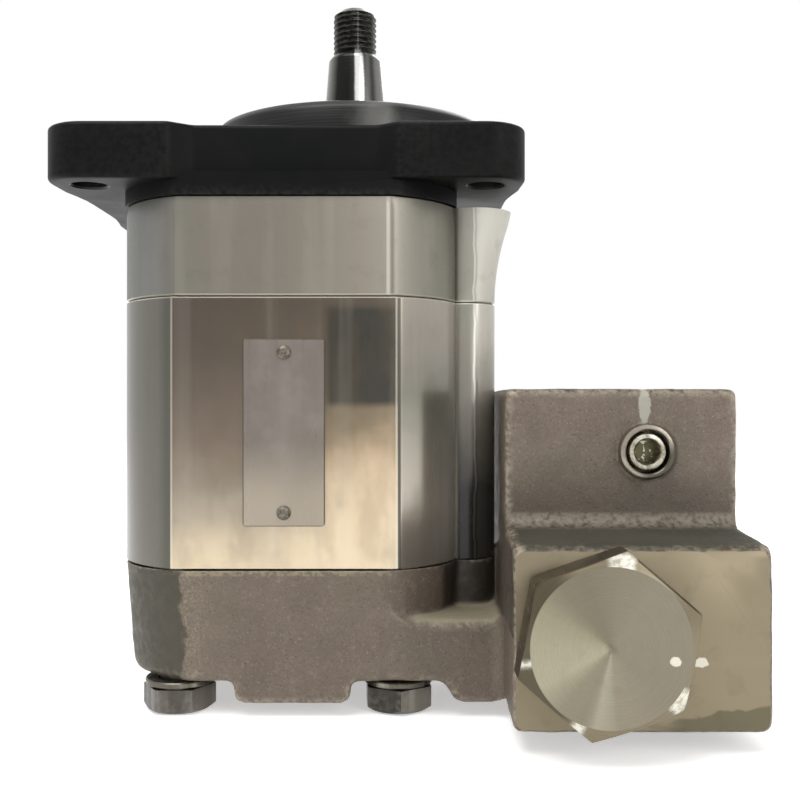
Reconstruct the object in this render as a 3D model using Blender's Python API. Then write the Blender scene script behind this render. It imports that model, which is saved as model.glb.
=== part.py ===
"""External gear pump: black mounting flange, two aluminium sections and an iron rear cover
cast in one with a priority valve block. Metres, +Z up along the drive shaft.

Every piece is placed from the drive shaft's axis and the underside of the bolt heads. The
empty pump_frame then shifts the whole pump, so that the origin is the middle of its footprint.
"""

import math

import bmesh
import bpy
from mathutils import Matrix, Vector

# Clearances
SEAT_GAP = 0.0003
RUN_GAP = 0.00005
FACE_GAP = 0.0001
GROOVE_GAP = 0.0003

# Gears
CENTRE_DISTANCE = 0.031
TEETH = 12
GEAR_TIP_RADIUS = 0.018
GEAR_ROOT_RADIUS = 0.0122
PRESSURE_ANGLE = math.radians(27.0)
BACKLASH = 0.00012
GEAR_WIDTH = 0.029
JOURNAL_RADIUS = 0.009
BUSH_WALL = 0.001
BLOCK_THICKNESS = 0.0189
BLOCK_SIDE_GAP = 0.0001

# Bolts under the pump
BOLT_RADIUS = 0.005
BOLT_EDGE_X = 0.0148
BOLT_EDGE_Y = 0.012
BOLT_HOLE_GAP = 0.0005
HEAD_HEIGHT = 0.0061
HEAD_FLATS = 0.016
WASHER_THICKNESS = 0.0016
WASHER_RADIUS = 0.0086
BOLT_IN_FLANGE = 0.013

# Sections, from the bottom up
SECTION_LENGTH = 0.0856
SECTION_WIDTH = 0.088
SECTION_FLAT_X = 0.0554
SECTION_FLAT_Y = 0.055
CORNER_CROWN = 0.030
COVER_HEIGHT = 0.0282
COVER_FLAT_X = 0.048
COVER_DRAFT = 0.0016
COVER_ROUNDING = 0.004
HOUSING_HEIGHT = 0.0243
HOUSING_FLAT_X = 0.053
RIB_RADIUS = 0.0075
RIB_OUT = 0.0035
RIB_Y = -0.019
RIB_FLARE_RADIUS = 0.010
RIB_FLARE_OUT = 0.0058

# Foot between the bolt heads, and the neck to the valve block
FOOT_SHIFT = 0.0017
FOOT_HEIGHT = 0.0052
FOOT_TO_WASHER = 0.0058
FOOT_FILLET = 0.0026
NECK_TOP = 0.0244
NECK_BACK = -0.003

# Flange
FLANGE_LENGTH = 0.1195
FLANGE_WIDTH = 0.093
PAD_HEIGHT = 0.0038
PLATE_THICKNESS = 0.0139
EAR_RADIUS = 0.0095
LONG_SIDE_RECESS = 0.004
SHORT_SIDE_RECESS = 0.0023
RECESS_HALF_LENGTH = 0.0225
RECESS_SLOPE = 0.0046
MOUNT_EDGE_X = 0.00975
MOUNT_EDGE_Y = 0.0105
MOUNT_HOLE_RADIUS = 0.0045
PILOT_RADIUS = 0.040
PILOT_HEIGHT = 0.0071
PILOT_LEAD_IN = 0.002

# Shaft end
BEARING_SEAT_RADIUS = 0.0085
TAPER_BASE = 0.0075
TAPER_LENGTH = 0.0138
TAPER_TOP_RADIUS = 0.00745
SHOULDER_LENGTH = 0.0020
THREAD_RADIUS = 0.0061
THREAD_LENGTH = 0.0127
THREAD_END_ROUNDING = 0.0022
KEY_WIDTH = 0.003
KEY_RADIUS = 0.0065
KEY_HEIGHT = 0.005
KEY_DEPTH = 0.0038
KEY_RISE = 0.0065

# Outboard ball bearing
BEARING_RADIUS = 0.020
BEARING_WIDTH = 0.012
BALL_RADIUS = 0.003375
BALL_PITCH_RADIUS = 0.01425
BALL_COUNT = 8
RING_SHOULDER = 0.0021
CAGE_HALF_WALL = 0.00095
CAGE_HALF_WIDTH = 0.0022

# Lip seal and retaining rings
SEAL_RADIUS = 0.015
SEAL_WIDTH = 0.007
SEAL_LIP_WALL = 0.0012
RING_WIRE = 0.0012
RING_DEPTH = 0.0010
RING_REACH = 0.0024
RING_OPENING = math.radians(40.0)
FLANGE_BORE_RADIUS = 0.0115
SEAL_POCKET_FLOOR = 0.0100

# Section seals and dowels
CORD_RADIUS = 0.0011
GROOVE_HALF_WIDTH = 0.0014
BODY_SEAL_OFFSET = 0.0033
BLOCK_SEAL_OFFSET = 0.0035
BLOCK_SEAL_RADIUS = 0.0009
FLANGE_SEAL_OFFSET = 0.0028
DOWEL_RADIUS = 0.003
DOWEL_LENGTH = 0.012
DOWEL_EDGE_X = 0.0068
DOWEL_Y = 0.018

# Ports
INLET_RADIUS = 0.010
INLET_SCREW_CIRCLE = 0.040
INLET_SCREW_RADIUS = 0.0026
INLET_SCREW_DEPTH = 0.012
GALLERY_RADIUS = 0.0045
GALLERY_Y = -0.0135
GALLERY_Z = 0.017
SERVICE_PORT_RADIUS = 0.0085
SERVICE_PORT_DEPTH = 0.016
PRIORITY_PORT_Y = -0.038
EXCESS_PORT_Y = 0.0

# Valve block
NECK_LENGTH = 0.0106
BLOCK_WIDTH = 0.0578
BLOCK_LEFT_DRAFT = math.radians(1.5)
BLOCK_BACK = 0.018
BLOCK_BOTTOM = 0.0046
LEDGE_HEIGHT = 0.0416
UPPER_HEIGHT = 0.0349
LOWER_FRONT = 0.0692
UPPER_FRONT = 0.044
BLOCK_ROUNDING = 0.0016
LEDGE_FILLET = 0.003

# Plug, spool and its spring
PLUG_INSET = 0.0196
PLUG_HEIGHT = 0.0214
PLUG_FLATS = 0.036
PLUG_HEAD = 0.0107
PLUG_CHAMFER_RADIUS = 0.0172
PLUG_TURN = math.radians(10.6)
PLUG_SHANK_RADIUS = 0.013
PLUG_SHANK_LENGTH = 0.016
PLUG_SEAL_RECESS = 0.0025
PLUG_CORD_RADIUS = 0.001
SPOOL_RADIUS = 0.010
SPOOL_LENGTH = 0.038
SPOOL_WAIST = 0.007
SPOOL_BORE_LENGTH = 0.0772
SPOOL_SPRING_RADIUS = 0.0075
SPOOL_WIRE_RADIUS = 0.001
SPOOL_COILS = 5.5

# Relief valve
RELIEF_INSET = 0.0351
RELIEF_HEIGHT = 0.0612
COLLAR_RADIUS = 0.00675
COLLAR_WALL = 0.0014
COLLAR_STAND = 0.003
COLLAR_DEPTH = 0.006
SCREW_RADIUS = 0.00455
SCREW_STAND = 0.0026
SCREW_DEPTH = 0.012
SOCKET_RADIUS = 0.0033
SOCKET_DEPTH = 0.0045
SPRING_SEAT_THICKNESS = 0.003
RELIEF_SPRING_LENGTH = 0.0224
RELIEF_SPRING_RADIUS = 0.0031
RELIEF_WIRE_RADIUS = 0.0006
RELIEF_COILS = 6.0
POPPET_GUIDE = 0.0035
POPPET_CONE = 0.0045
POPPET_TIP_RADIUS = 0.0008
RELIEF_SEAT_THICKNESS = 0.0035
RELIEF_SEAT_HOLE = 0.0022
RELIEF_DRILL_RADIUS = 0.0022

# Name plate on the near face
PLATE_WIDTH = 0.0201
PLATE_HEIGHT = 0.0458
PLATE_GAUGE = 0.0005
PLATE_RISE = 0.0336
RIVET_RADIUS = 0.001
RIVET_HEAD_RADIUS = 0.00175
RIVET_LENGTH = 0.005
RIVET_HOLE_GAP = 0.0001
RIVET_SPACING = 0.0392

# How finely curves are divided
FINE = 48
MEDIUM = 28
COARSE = 16

# Places that follow from the sizes above
BODY_X = -CENTRE_DISTANCE / 2
BOLT_X = SECTION_LENGTH / 2 - BOLT_EDGE_X
BOLT_Y = SECTION_WIDTH / 2 - BOLT_EDGE_Y
MOUNT_X = FLANGE_LENGTH / 2 - MOUNT_EDGE_X
MOUNT_Y = FLANGE_WIDTH / 2 - MOUNT_EDGE_Y
DOWEL_X = SECTION_LENGTH / 2 - DOWEL_EDGE_X
WASHER_Z = HEAD_HEIGHT + SEAT_GAP
COVER_Z = WASHER_Z + WASHER_THICKNESS + SEAT_GAP
COVER_TOP = COVER_Z + COVER_HEIGHT
BODY_HEIGHT = GEAR_WIDTH + 2 * BLOCK_THICKNESS + 2 * FACE_GAP
BODY_Z = COVER_TOP + SEAT_GAP
BODY_TOP = BODY_Z + BODY_HEIGHT
GEAR_Z = BODY_Z + BLOCK_THICKNESS + FACE_GAP
HOUSING_Z = BODY_TOP + SEAT_GAP
HOUSING_TOP = HOUSING_Z + HOUSING_HEIGHT
FLANGE_Z = HOUSING_TOP + SEAT_GAP
PLATE_Z = FLANGE_Z + PAD_HEIGHT
FLANGE_TOP = PLATE_Z + PLATE_THICKNESS
PILOT_TOP = FLANGE_TOP + PILOT_HEIGHT
CHAMBER_RADIUS = GEAR_TIP_RADIUS + RUN_GAP
BEARING_Z = HOUSING_TOP - BEARING_WIDTH - FACE_GAP
FRONT_Y = -SECTION_WIDTH / 2
SIDE_X = BODY_X + SECTION_LENGTH / 2
FOOT_X = BODY_X + FOOT_SHIFT
FOOT_LENGTH = 2 * (BOLT_X - WASHER_RADIUS - FOOT_TO_WASHER)
BLOCK_LEFT = SIDE_X + NECK_LENGTH
BLOCK_RIGHT = BLOCK_LEFT + BLOCK_WIDTH
PLUG_X = BLOCK_LEFT + PLUG_INSET
RELIEF_X = BLOCK_LEFT + RELIEF_INSET
PLUG_Z = BLOCK_BOTTOM + PLUG_HEIGHT
RELIEF_Z = BLOCK_BOTTOM + RELIEF_HEIGHT
LEDGE_Z = BLOCK_BOTTOM + LEDGE_HEIGHT
BLOCK_TOP = LEDGE_Z + UPPER_HEIGHT
SPOOL_BORE_END = SPOOL_BORE_LENGTH - LOWER_FRONT

# The pump's footprint, whose middle becomes the origin
LOW_X = BODY_X - FLANGE_LENGTH / 2
LOW_Y = -(LOWER_FRONT + SEAT_GAP + PLUG_HEAD)
HIGH_Y = FLANGE_WIDTH / 2
SHIFT = Vector((-(LOW_X + BLOCK_RIGHT) / 2, -(LOW_Y + HIGH_Y) / 2, 0.0))


def clear_scene():
    for item in list(bpy.data.objects):
        bpy.data.objects.remove(item, do_unlink=True)


def finish(name, colour, roughness, metallic):
    material = bpy.data.materials.new(name)
    material.use_nodes = True
    shader = material.node_tree.nodes["Principled BSDF"]
    shader.inputs["Base Color"].default_value = (*colour, 1.0)
    shader.inputs["Roughness"].default_value = roughness
    shader.inputs["Metallic"].default_value = metallic
    return material


def place(item, location=(0.0, 0.0, 0.0), facing_front=False):
    """Hangs an object on pump_frame. A piece that faces the front has its own +Z along -Y."""
    item.parent = pump_frame
    item.location = location
    if facing_front:
        item.rotation_euler = (math.pi / 2, 0.0, 0.0)
    return item


def mesh_object(name, bm, material=None):
    bmesh.ops.remove_doubles(bm, verts=bm.verts, dist=1e-7)
    bmesh.ops.recalc_face_normals(bm, faces=bm.faces)
    mesh = bpy.data.meshes.new(name)
    bm.to_mesh(mesh)
    bm.free()
    mesh.shade_smooth()
    mesh.set_sharp_from_angle(angle=math.radians(32))
    item = bpy.data.objects.new(name, mesh)
    bpy.context.scene.collection.objects.link(item)
    if material:
        mesh.materials.append(material)
    return item


def helper(item):
    """Marks an object as a cutter or other tool, which is no part of the pump."""
    item.hide_render = True
    item.display_type = "WIRE"
    return item


def combine(item, operation, tool):
    modifier = item.modifiers.new(tool.name, "BOOLEAN")
    modifier.operation = operation
    modifier.solver = "EXACT"
    modifier.object = helper(tool)


def around(radius, segments):
    """Radius for the corners of a faceted hole, so that its flats stay clear of a round piece."""
    return radius / math.cos(math.pi / segments)


def arc(centre, radius, start, end, steps):
    """Points along a circular arc, both ends included."""
    points = []
    for i in range(steps + 1):
        angle = start + (end - start) * i / steps
        points.append((centre[0] + radius * math.cos(angle), centre[1] + radius * math.sin(angle)))
    return points


def crowned(start, end, radius, steps):
    """An arc of the given radius from start to end, bulging to the right of the way there."""
    a, b = Vector(start), Vector(end)
    half = (b - a) / 2
    left = Vector((-half.y, half.x)).normalized()
    centre = a + half + left * math.sqrt(max(radius**2 - half.length_squared, 0.0))
    first = math.atan2(a.y - centre.y, a.x - centre.x)
    last = math.atan2(b.y - centre.y, b.x - centre.x)
    if last < first:
        last += 2 * math.pi
    return arc(centre, radius, first, last, steps)


def four_fold(quadrant, centre_x):
    """A whole outline from its first quadrant, mirrored about both axes."""
    mirrored = [(-x, y) for x, y in reversed(quadrant)]
    upper = quadrant + mirrored
    lower = [(-x, -y) for x, y in upper]
    points = []
    for x, y in upper + lower:
        point = (centre_x + x, y)
        if not points or math.dist(point, points[-1]) > 1e-6:
            points.append(point)
    if math.dist(points[0], points[-1]) < 1e-6:
        points.pop()
    return points


def lofted(levels):
    """A closed solid through outlines of equal point count, given as (height, points)."""
    bm = bmesh.new()
    rings = [[bm.verts.new((x, y, z)) for x, y in points] for z, points in levels]
    for low, high in zip(rings, rings[1:]):
        for i, corner in enumerate(low):
            j = (i + 1) % len(low)
            bm.faces.new((corner, low[j], high[j], high[i]))
    bm.faces.new(rings[0])
    bm.faces.new(rings[-1])
    return bm


def prism(points, low, high):
    return lofted([(low, points), (high, points)])


def turned(profile, segments):
    """A solid of revolution about Z from a profile of (radius, height) points."""
    bm = bmesh.new()
    corners = [bm.verts.new((radius, 0.0, height)) for radius, height in profile]
    edges = [bm.edges.new(pair) for pair in zip(corners, corners[1:])]
    if profile[0][0] > 0 or profile[-1][0] > 0:
        edges.append(bm.edges.new((corners[-1], corners[0])))
    bmesh.ops.spin(
        bm,
        geom=corners + edges,
        axis=(0, 0, 1),
        cent=(0, 0, 0),
        angle=2 * math.pi,
        steps=segments,
        use_merge=True,
    )
    bmesh.ops.dissolve_degenerate(bm, dist=1e-7, edges=bm.edges)
    return bm


def rod(radius, low, high, segments):
    return turned([(0.0, low), (radius, low), (radius, high), (0.0, high)], segments)


def ring(inner, outer, low, high, segments):
    """A plain tube whose bore keeps its radius clear of the facets."""
    bore = around(inner, segments)
    return turned([(bore, low), (outer, low), (outer, high), (bore, high)], segments)


def along_x(bm):
    """Turns a shape made about Z so that its +Z points along +X."""
    bmesh.ops.transform(bm, matrix=Matrix.Rotation(math.pi / 2, 4, "Y"), verts=bm.verts)
    return bm


def offset_path(path, distance, closed):
    """The path moved sideways, to its right for a positive distance."""
    moved = []
    count = len(path)
    for i, point in enumerate(path):
        before = path[i - 1] if i or closed else point
        after = path[(i + 1) % count] if i + 1 < count or closed else point
        heading = (Vector(after) - Vector(before)).normalized()
        moved.append((point[0] + heading.y * distance, point[1] - heading.x * distance))
    return moved


def groove(path, half_width, low, high, closed):
    """A groove's cutter, which follows a path seen from above."""
    right = offset_path(path, half_width, closed)
    left = offset_path(path, -half_width, closed)
    if not closed:
        return prism(right + left[::-1], low, high)
    bm = bmesh.new()
    loops = []
    for points, z in ((right, low), (right, high), (left, high), (left, low)):
        loops.append([bm.verts.new((x, y, z)) for x, y in points])
    for first, second in zip(loops, loops[1:] + loops[:1]):
        for i in range(len(path)):
            j = (i + 1) % len(path)
            bm.faces.new((first[i], first[j], second[j], second[i]))
    return bm


def cord(name, points, radius, closed, material, sides):
    """A round cord or wire along points in space."""
    curve = bpy.data.curves.new(name, "CURVE")
    curve.dimensions = "3D"
    curve.bevel_depth = radius
    curve.bevel_resolution = sides
    curve.use_fill_caps = True
    spline = curve.splines.new("POLY")
    spline.points.add(len(points) - 1)
    for target, point in zip(spline.points, points):
        target.co = (*point, 1.0)
    spline.use_cyclic_u = closed
    curve.materials.append(material)
    item = bpy.data.objects.new(name, curve)
    bpy.context.scene.collection.objects.link(item)
    return item


def coil(radius, low, high, turns, steps):
    """Points along a helix from low to high, with a closed turn flat at each end."""
    points = []
    count = round(turns * steps)
    for i in range(count + 1):
        share = i / count
        eased = min(max((share * turns - 0.7) / (turns - 1.4), 0.0), 1.0)
        angle = 2 * math.pi * i / steps
        height = low + (high - low) * (0.12 * share + 0.88 * eased)
        points.append((radius * math.cos(angle), radius * math.sin(angle), height))
    return points


def bolt_places():
    """The four through bolts, seen from above."""
    for x in (-1, 1):
        for y in (-1, 1):
            yield BODY_X + x * BOLT_X, y * BOLT_Y


def drill(item, name, radius, low, high, location, segments=COARSE, facing_front=False):
    cutter = mesh_object(name, rod(around(radius, segments), low, high, segments))
    combine(item, "DIFFERENCE", place(cutter, location, facing_front))


def section_quadrant(inset, flat_x, crown):
    half_x = SECTION_LENGTH / 2 - inset
    half_y = SECTION_WIDTH / 2 - inset
    low = (half_x, SECTION_FLAT_Y / 2 - inset / 2)
    high = (flat_x / 2 - inset / 2, half_y)
    return crowned(low, high, crown, 5)


def section_outline(flat_x, rib_radius, rib_out, inset=0.0):
    """The aluminium sections' outline: crowned corners, and the round rib up the +X side."""
    points = four_fold(section_quadrant(inset, flat_x, CORNER_CROWN), BODY_X)
    side = SIDE_X - inset
    opening = math.acos(-rib_out / rib_radius)
    rib = arc((side + rib_out, RIB_Y), rib_radius, -opening, opening, 10)
    return points + rib


def cover_outline(inset):
    return four_fold(section_quadrant(inset, COVER_FLAT_X, CORNER_CROWN * 0.8), BODY_X)


def flange_outline(inset):
    half_x = FLANGE_LENGTH / 2 - inset
    half_y = FLANGE_WIDTH / 2 - inset
    ear = (half_x - EAR_RADIUS, half_y - EAR_RADIUS)
    slope_end = RECESS_HALF_LENGTH + RECESS_SLOPE
    waist = half_x - SHORT_SIDE_RECESS
    quadrant = [(waist, half_y * 0.22), (waist + SHORT_SIDE_RECESS * 0.45, half_y * 0.47)]
    quadrant += arc(ear, EAR_RADIUS, 0.0, math.pi / 2, 6)
    quadrant += [(slope_end + 0.002, half_y), (slope_end, half_y - LONG_SIDE_RECESS * 0.2)]
    quadrant += [(RECESS_HALF_LENGTH + 0.001, half_y - LONG_SIDE_RECESS * 0.9)]
    quadrant += [(RECESS_HALF_LENGTH - 0.001, half_y - LONG_SIDE_RECESS)]
    return four_fold(quadrant, BODY_X)


def make_flange():
    """Black flange: pad, eared plate and pilot, with the lip seal's pocket bored from the top."""
    flange = mesh_object(
        "front_flange",
        lofted(
            [
                (PLATE_Z, flange_outline(0.0012)),
                (PLATE_Z + 0.0012, flange_outline(0.0)),
                (FLANGE_TOP - 0.0012, flange_outline(0.0)),
                (FLANGE_TOP, flange_outline(0.0012)),
            ]
        ),
        black_paint,
    )
    place(flange)
    pad_outline = four_fold(section_quadrant(-0.0004, SECTION_FLAT_X, CORNER_CROWN), BODY_X)
    pad = mesh_object("flange_pad", prism(pad_outline, FLANGE_Z, PLATE_Z + 0.002))
    combine(flange, "UNION", place(pad))
    pilot = mesh_object(
        "flange_pilot",
        turned(
            [
                (0.0, FLANGE_TOP - 0.002),
                (PILOT_RADIUS, FLANGE_TOP - 0.002),
                (PILOT_RADIUS, PILOT_TOP - PILOT_LEAD_IN),
                (PILOT_RADIUS - PILOT_LEAD_IN * 0.8, PILOT_TOP),
                (0.0, PILOT_TOP),
            ],
            FINE,
        ),
    )
    combine(flange, "UNION", place(pilot))
    floor = FLANGE_Z + PAD_HEIGHT + SEAL_POCKET_FLOOR
    ring_z = floor + SEAL_WIDTH + 2 * SEAT_GAP
    pocket = around(SEAL_RADIUS, MEDIUM)
    bore = mesh_object(
        "flange_bore",
        turned(
            [
                (0.0, FLANGE_Z - 0.002),
                (FLANGE_BORE_RADIUS, FLANGE_Z - 0.002),
                (FLANGE_BORE_RADIUS, floor),
                (pocket, floor),
                (pocket, ring_z - GROOVE_GAP / 2),
                (pocket + RING_DEPTH, ring_z - GROOVE_GAP / 2),
                (pocket + RING_DEPTH, ring_z + RING_WIRE + GROOVE_GAP / 2),
                (pocket, ring_z + RING_WIRE + GROOVE_GAP / 2),
                (pocket, PILOT_TOP - 0.0006),
                (pocket + 0.0008, PILOT_TOP + 0.0002),
                (0.0, PILOT_TOP + 0.0002),
            ],
            MEDIUM,
        ),
    )
    combine(flange, "DIFFERENCE", place(bore))
    for x in (-1, 1):
        for y in (-1, 1):
            where = (BODY_X + x * MOUNT_X, y * MOUNT_Y, 0.0)
            drill(flange, "mount_drill", MOUNT_HOLE_RADIUS, PLATE_Z - 0.002, FLANGE_TOP + 0.002, where)
    for x, y in bolt_places():
        top = FLANGE_Z + BOLT_IN_FLANGE + 0.001
        drill(flange, "thread_drill", BOLT_RADIUS + RUN_GAP, FLANGE_Z - 0.002, top, (x, y, 0.0))
    make_lip_seal(floor + SEAT_GAP)
    make_retaining_ring("seal_circlip", pocket + RING_DEPTH - GROOVE_GAP, -RING_REACH, ring_z)


def make_lip_seal(low):
    outer = SEAL_RADIUS - RUN_GAP
    lip = around(BEARING_SEAT_RADIUS + RUN_GAP, MEDIUM)
    profile = [
        (outer, low),
        (outer, low + SEAL_WIDTH),
        (lip + SEAL_LIP_WALL, low + SEAL_WIDTH),
        (lip, low + SEAL_WIDTH * 0.55),
        (lip + SEAL_LIP_WALL * 0.5, low + SEAL_WIDTH * 0.25),
        (lip + SEAL_LIP_WALL, low + SEAL_WIDTH * 0.25),
        (lip + SEAL_LIP_WALL * 1.6, low + SEAL_WIDTH * 0.65),
        (outer - SEAL_LIP_WALL * 1.4, low + SEAL_WIDTH * 0.65),
        (outer - SEAL_LIP_WALL * 1.4, low),
    ]
    place(mesh_object("shaft_seal", turned(profile, MEDIUM), black_rubber))


def make_retaining_ring(name, rim, reach, low, parent_axis=(0.0, 0.0, 0.0)):
    """A circlip: an open ring from its rim radius inwards or outwards by reach."""
    start = RING_OPENING / 2
    end = 2 * math.pi - start
    outer, inner = max(rim, rim + reach), min(rim, rim + reach)
    points = arc((0, 0), outer, start, end, 18) + arc((0, 0), inner, end, start, 18)
    item = mesh_object(name, prism(points, low, low + RING_WIRE), spring_steel)
    return place(item, parent_axis)


def make_housing():
    """Front aluminium section, which holds the ball bearing. Its rib widens under the flange."""
    low = section_outline(HOUSING_FLAT_X, RIB_RADIUS, RIB_OUT)
    middle = section_outline(HOUSING_FLAT_X, (RIB_RADIUS + RIB_FLARE_RADIUS) / 2 - 0.0005, RIB_OUT + 0.0008)
    high = section_outline(HOUSING_FLAT_X, RIB_FLARE_RADIUS, RIB_FLARE_OUT)
    middle_z = HOUSING_Z + HOUSING_HEIGHT * 0.6
    levels = [(HOUSING_Z, low), (middle_z, middle), (HOUSING_TOP, high)]
    housing = place(mesh_object("front_housing", lofted(levels), cast_aluminium))
    pocket = around(BEARING_RADIUS, MEDIUM)
    shaft_hole = around(JOURNAL_RADIUS + 0.0008, MEDIUM)
    floor = BEARING_Z - SEAT_GAP
    bore = mesh_object(
        "housing_bore",
        turned(
            [
                (0.0, HOUSING_Z - 0.001),
                (shaft_hole, HOUSING_Z - 0.001),
                (shaft_hole, floor),
                (pocket, floor),
                (pocket, HOUSING_TOP + 0.001),
                (0.0, HOUSING_TOP + 0.001),
            ],
            MEDIUM,
        ),
    )
    combine(housing, "DIFFERENCE", place(bore))
    path = arc((0, 0), BEARING_RADIUS + FLANGE_SEAL_OFFSET, 0, 2 * math.pi, 28)[:-1]
    seal_groove(housing, "flange_seal", path, HOUSING_TOP, -1)
    for x, y in bolt_places():
        radius = BOLT_RADIUS + BOLT_HOLE_GAP
        drill(housing, "housing_bolt_drill", radius, HOUSING_Z - 0.001, HOUSING_TOP + 0.001, (x, y, 0.0))
    dowel_holes(housing, HOUSING_Z)


def seal_groove(item, name, path, face_z, into):
    """Cuts a groove into a face and lays its round seal in it. into is -1 down, +1 up."""
    depth = 2 * CORD_RADIUS + GROOVE_GAP
    low, high = sorted((face_z + into * depth, face_z - into * 0.001))
    cutter = mesh_object(name + "_groove", groove(path, GROOVE_HALF_WIDTH, low, high, True))
    combine(item, "DIFFERENCE", place(cutter))
    z = face_z + into * CORD_RADIUS
    seal = cord(name, [(x, y, z) for x, y in path], CORD_RADIUS, True, black_rubber, 1)
    place(seal)


def dowel_holes(item, face_z):
    for x, y in ((DOWEL_X, DOWEL_Y), (-DOWEL_X, -DOWEL_Y)):
        reach = DOWEL_LENGTH / 2 + SEAT_GAP
        where = (BODY_X + x, y, 0.0)
        drill(item, "dowel_drill", DOWEL_RADIUS + RUN_GAP, face_z - reach, face_z + reach, where, 16)


def chamber_path():
    """The racetrack around both gears that the section seals follow."""
    radius = CHAMBER_RADIUS + BODY_SEAL_OFFSET
    right = arc((0, 0), radius, -math.pi / 2, math.pi / 2, 12)
    left = arc((-CENTRE_DISTANCE, 0), radius, math.pi / 2, 3 * math.pi / 2, 12)
    return right + left


def make_body():
    """Main aluminium section: the gear chamber, its galleries and the inlet port at the back."""
    outline = section_outline(SECTION_FLAT_X, RIB_RADIUS, RIB_OUT)
    body = place(mesh_object("gear_body", prism(outline, BODY_Z, BODY_TOP), bright_aluminium))
    for name, x in (("drive_chamber", 0.0), ("driven_chamber", -CENTRE_DISTANCE)):
        drill(body, name, CHAMBER_RADIUS, BODY_Z - 0.001, BODY_TOP + 0.001, (x, 0.0, 0.0), FINE)
    for x, y in bolt_places():
        radius = BOLT_RADIUS + BOLT_HOLE_GAP
        drill(body, "body_bolt_drill", radius, BODY_Z - 0.001, BODY_TOP + 0.001, (x, y, 0.0))
    seal_groove(body, "body_seal_rear", chamber_path(), BODY_Z, 1)
    seal_groove(body, "body_seal_front", chamber_path(), BODY_TOP, -1)
    dowel_holes(body, BODY_Z)
    dowel_holes(body, BODY_TOP)
    middle = GEAR_Z + GEAR_WIDTH / 2
    drill(body, "outlet_gallery", GALLERY_RADIUS, BODY_Z - 0.001, middle, (BODY_X, GALLERY_Y, 0.0))
    back = SECTION_WIDTH / 2
    where = (BODY_X, 0.0, middle)
    drill(body, "inlet_port", INLET_RADIUS, -back - 0.001, -0.006, where, MEDIUM, True)
    for i in range(4):
        angle = math.pi / 4 + i * math.pi / 2
        x = BODY_X + INLET_SCREW_CIRCLE / 2 * math.cos(angle)
        z = middle + INLET_SCREW_CIRCLE / 2 * math.sin(angle)
        low = -back - 0.001
        high = -back + INLET_SCREW_DEPTH
        drill(body, "inlet_screw_drill", INLET_SCREW_RADIUS, low, high, (x, 0.0, z), 12, True)
    make_plate(body)


def make_plate(body):
    """Bare name plate on the near face, held by two drive rivets."""
    middle = BODY_Z + PLATE_RISE
    half_x, half_z = PLATE_WIDTH / 2, PLATE_HEIGHT / 2
    corner = 0.0006
    outline = four_fold(arc((half_x - corner, half_z - corner), corner, 0, math.pi / 2, 3), 0.0)
    back = -FRONT_Y + SEAT_GAP
    where = (BODY_X, 0.0, middle)
    plate = mesh_object("name_plate", prism(outline, back, back + PLATE_GAUGE), plate_metal)
    place(plate, where, True)
    head = back + PLATE_GAUGE + SEAT_GAP
    rivet_profile = [
        (0.0, head - RIVET_LENGTH),
        (RIVET_RADIUS, head - RIVET_LENGTH),
        (RIVET_RADIUS, head),
        (RIVET_HEAD_RADIUS, head),
        (RIVET_HEAD_RADIUS * 0.8, head + 0.0005),
        (RIVET_HEAD_RADIUS * 0.4, head + 0.0008),
        (0.0, head + 0.0009),
    ]
    for i, side in enumerate((-1, 1)):
        spot = (BODY_X, 0.0, middle + side * RIVET_SPACING / 2)
        drill(body, "rivet_drill", RIVET_RADIUS + RIVET_HOLE_GAP, head - RIVET_LENGTH - SEAT_GAP,
              back + 0.001, spot, 12, True)
        drill(plate, "plate_drill", RIVET_RADIUS + RIVET_HOLE_GAP, back - 0.001, head, spot, 12, True)
        rivet = mesh_object(f"plate_rivet_{i + 1}", turned(rivet_profile, 12), plate_metal)
        place(rivet, spot, True)


def block_left_at(y):
    return BLOCK_LEFT + (y + LOWER_FRONT) * math.tan(BLOCK_LEFT_DRAFT)


def block_profile(inset):
    """Side view of the valve block as (y, z): tall at the back, with a ledge over the plug."""
    front, step, back = -LOWER_FRONT + inset, -UPPER_FRONT + inset, BLOCK_BACK - inset
    low, ledge, top = BLOCK_BOTTOM + inset, LEDGE_Z - inset, BLOCK_TOP - inset
    r = BLOCK_ROUNDING
    points = arc((front + r, low + r), r, 1.5 * math.pi, math.pi, 2)
    points += arc((front + r, ledge - r), r, math.pi, math.pi / 2, 2)
    rise = 0.0012
    points += arc((step - LEDGE_FILLET, ledge + rise + LEDGE_FILLET), LEDGE_FILLET, -math.pi / 2, 0, 4)
    points += arc((step + r, top - r), r, math.pi, math.pi / 2, 2)
    points += arc((back - r, top - r), r, math.pi / 2, 0, 2)
    points += arc((back - r, low + r), r, 0, -math.pi / 2, 2)
    return points


def block_solid():
    """The block's side view carried along X, with rounded ends and a drafted left face."""
    bm = bmesh.new()
    rings = []
    r = BLOCK_ROUNDING
    for inset, depth in ((r, 0.0), (r * 0.3, r * 0.3), (0.0, r)):
        rings.append([(block_left_at(y) + depth, y, z) for y, z in block_profile(inset)])
    for inset, depth in ((0.0, r), (r * 0.3, r * 0.3), (r, 0.0)):
        rings.append([(BLOCK_RIGHT - depth, y, z) for y, z in block_profile(inset)])
    rings = [[bm.verts.new(point) for point in points] for points in rings]
    for first, second in zip(rings, rings[1:]):
        for i, corner in enumerate(first):
            j = (i + 1) % len(first)
            bm.faces.new((corner, first[j], second[j], second[i]))
    bm.faces.new(rings[0])
    bm.faces.new(rings[-1])
    return bm


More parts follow.
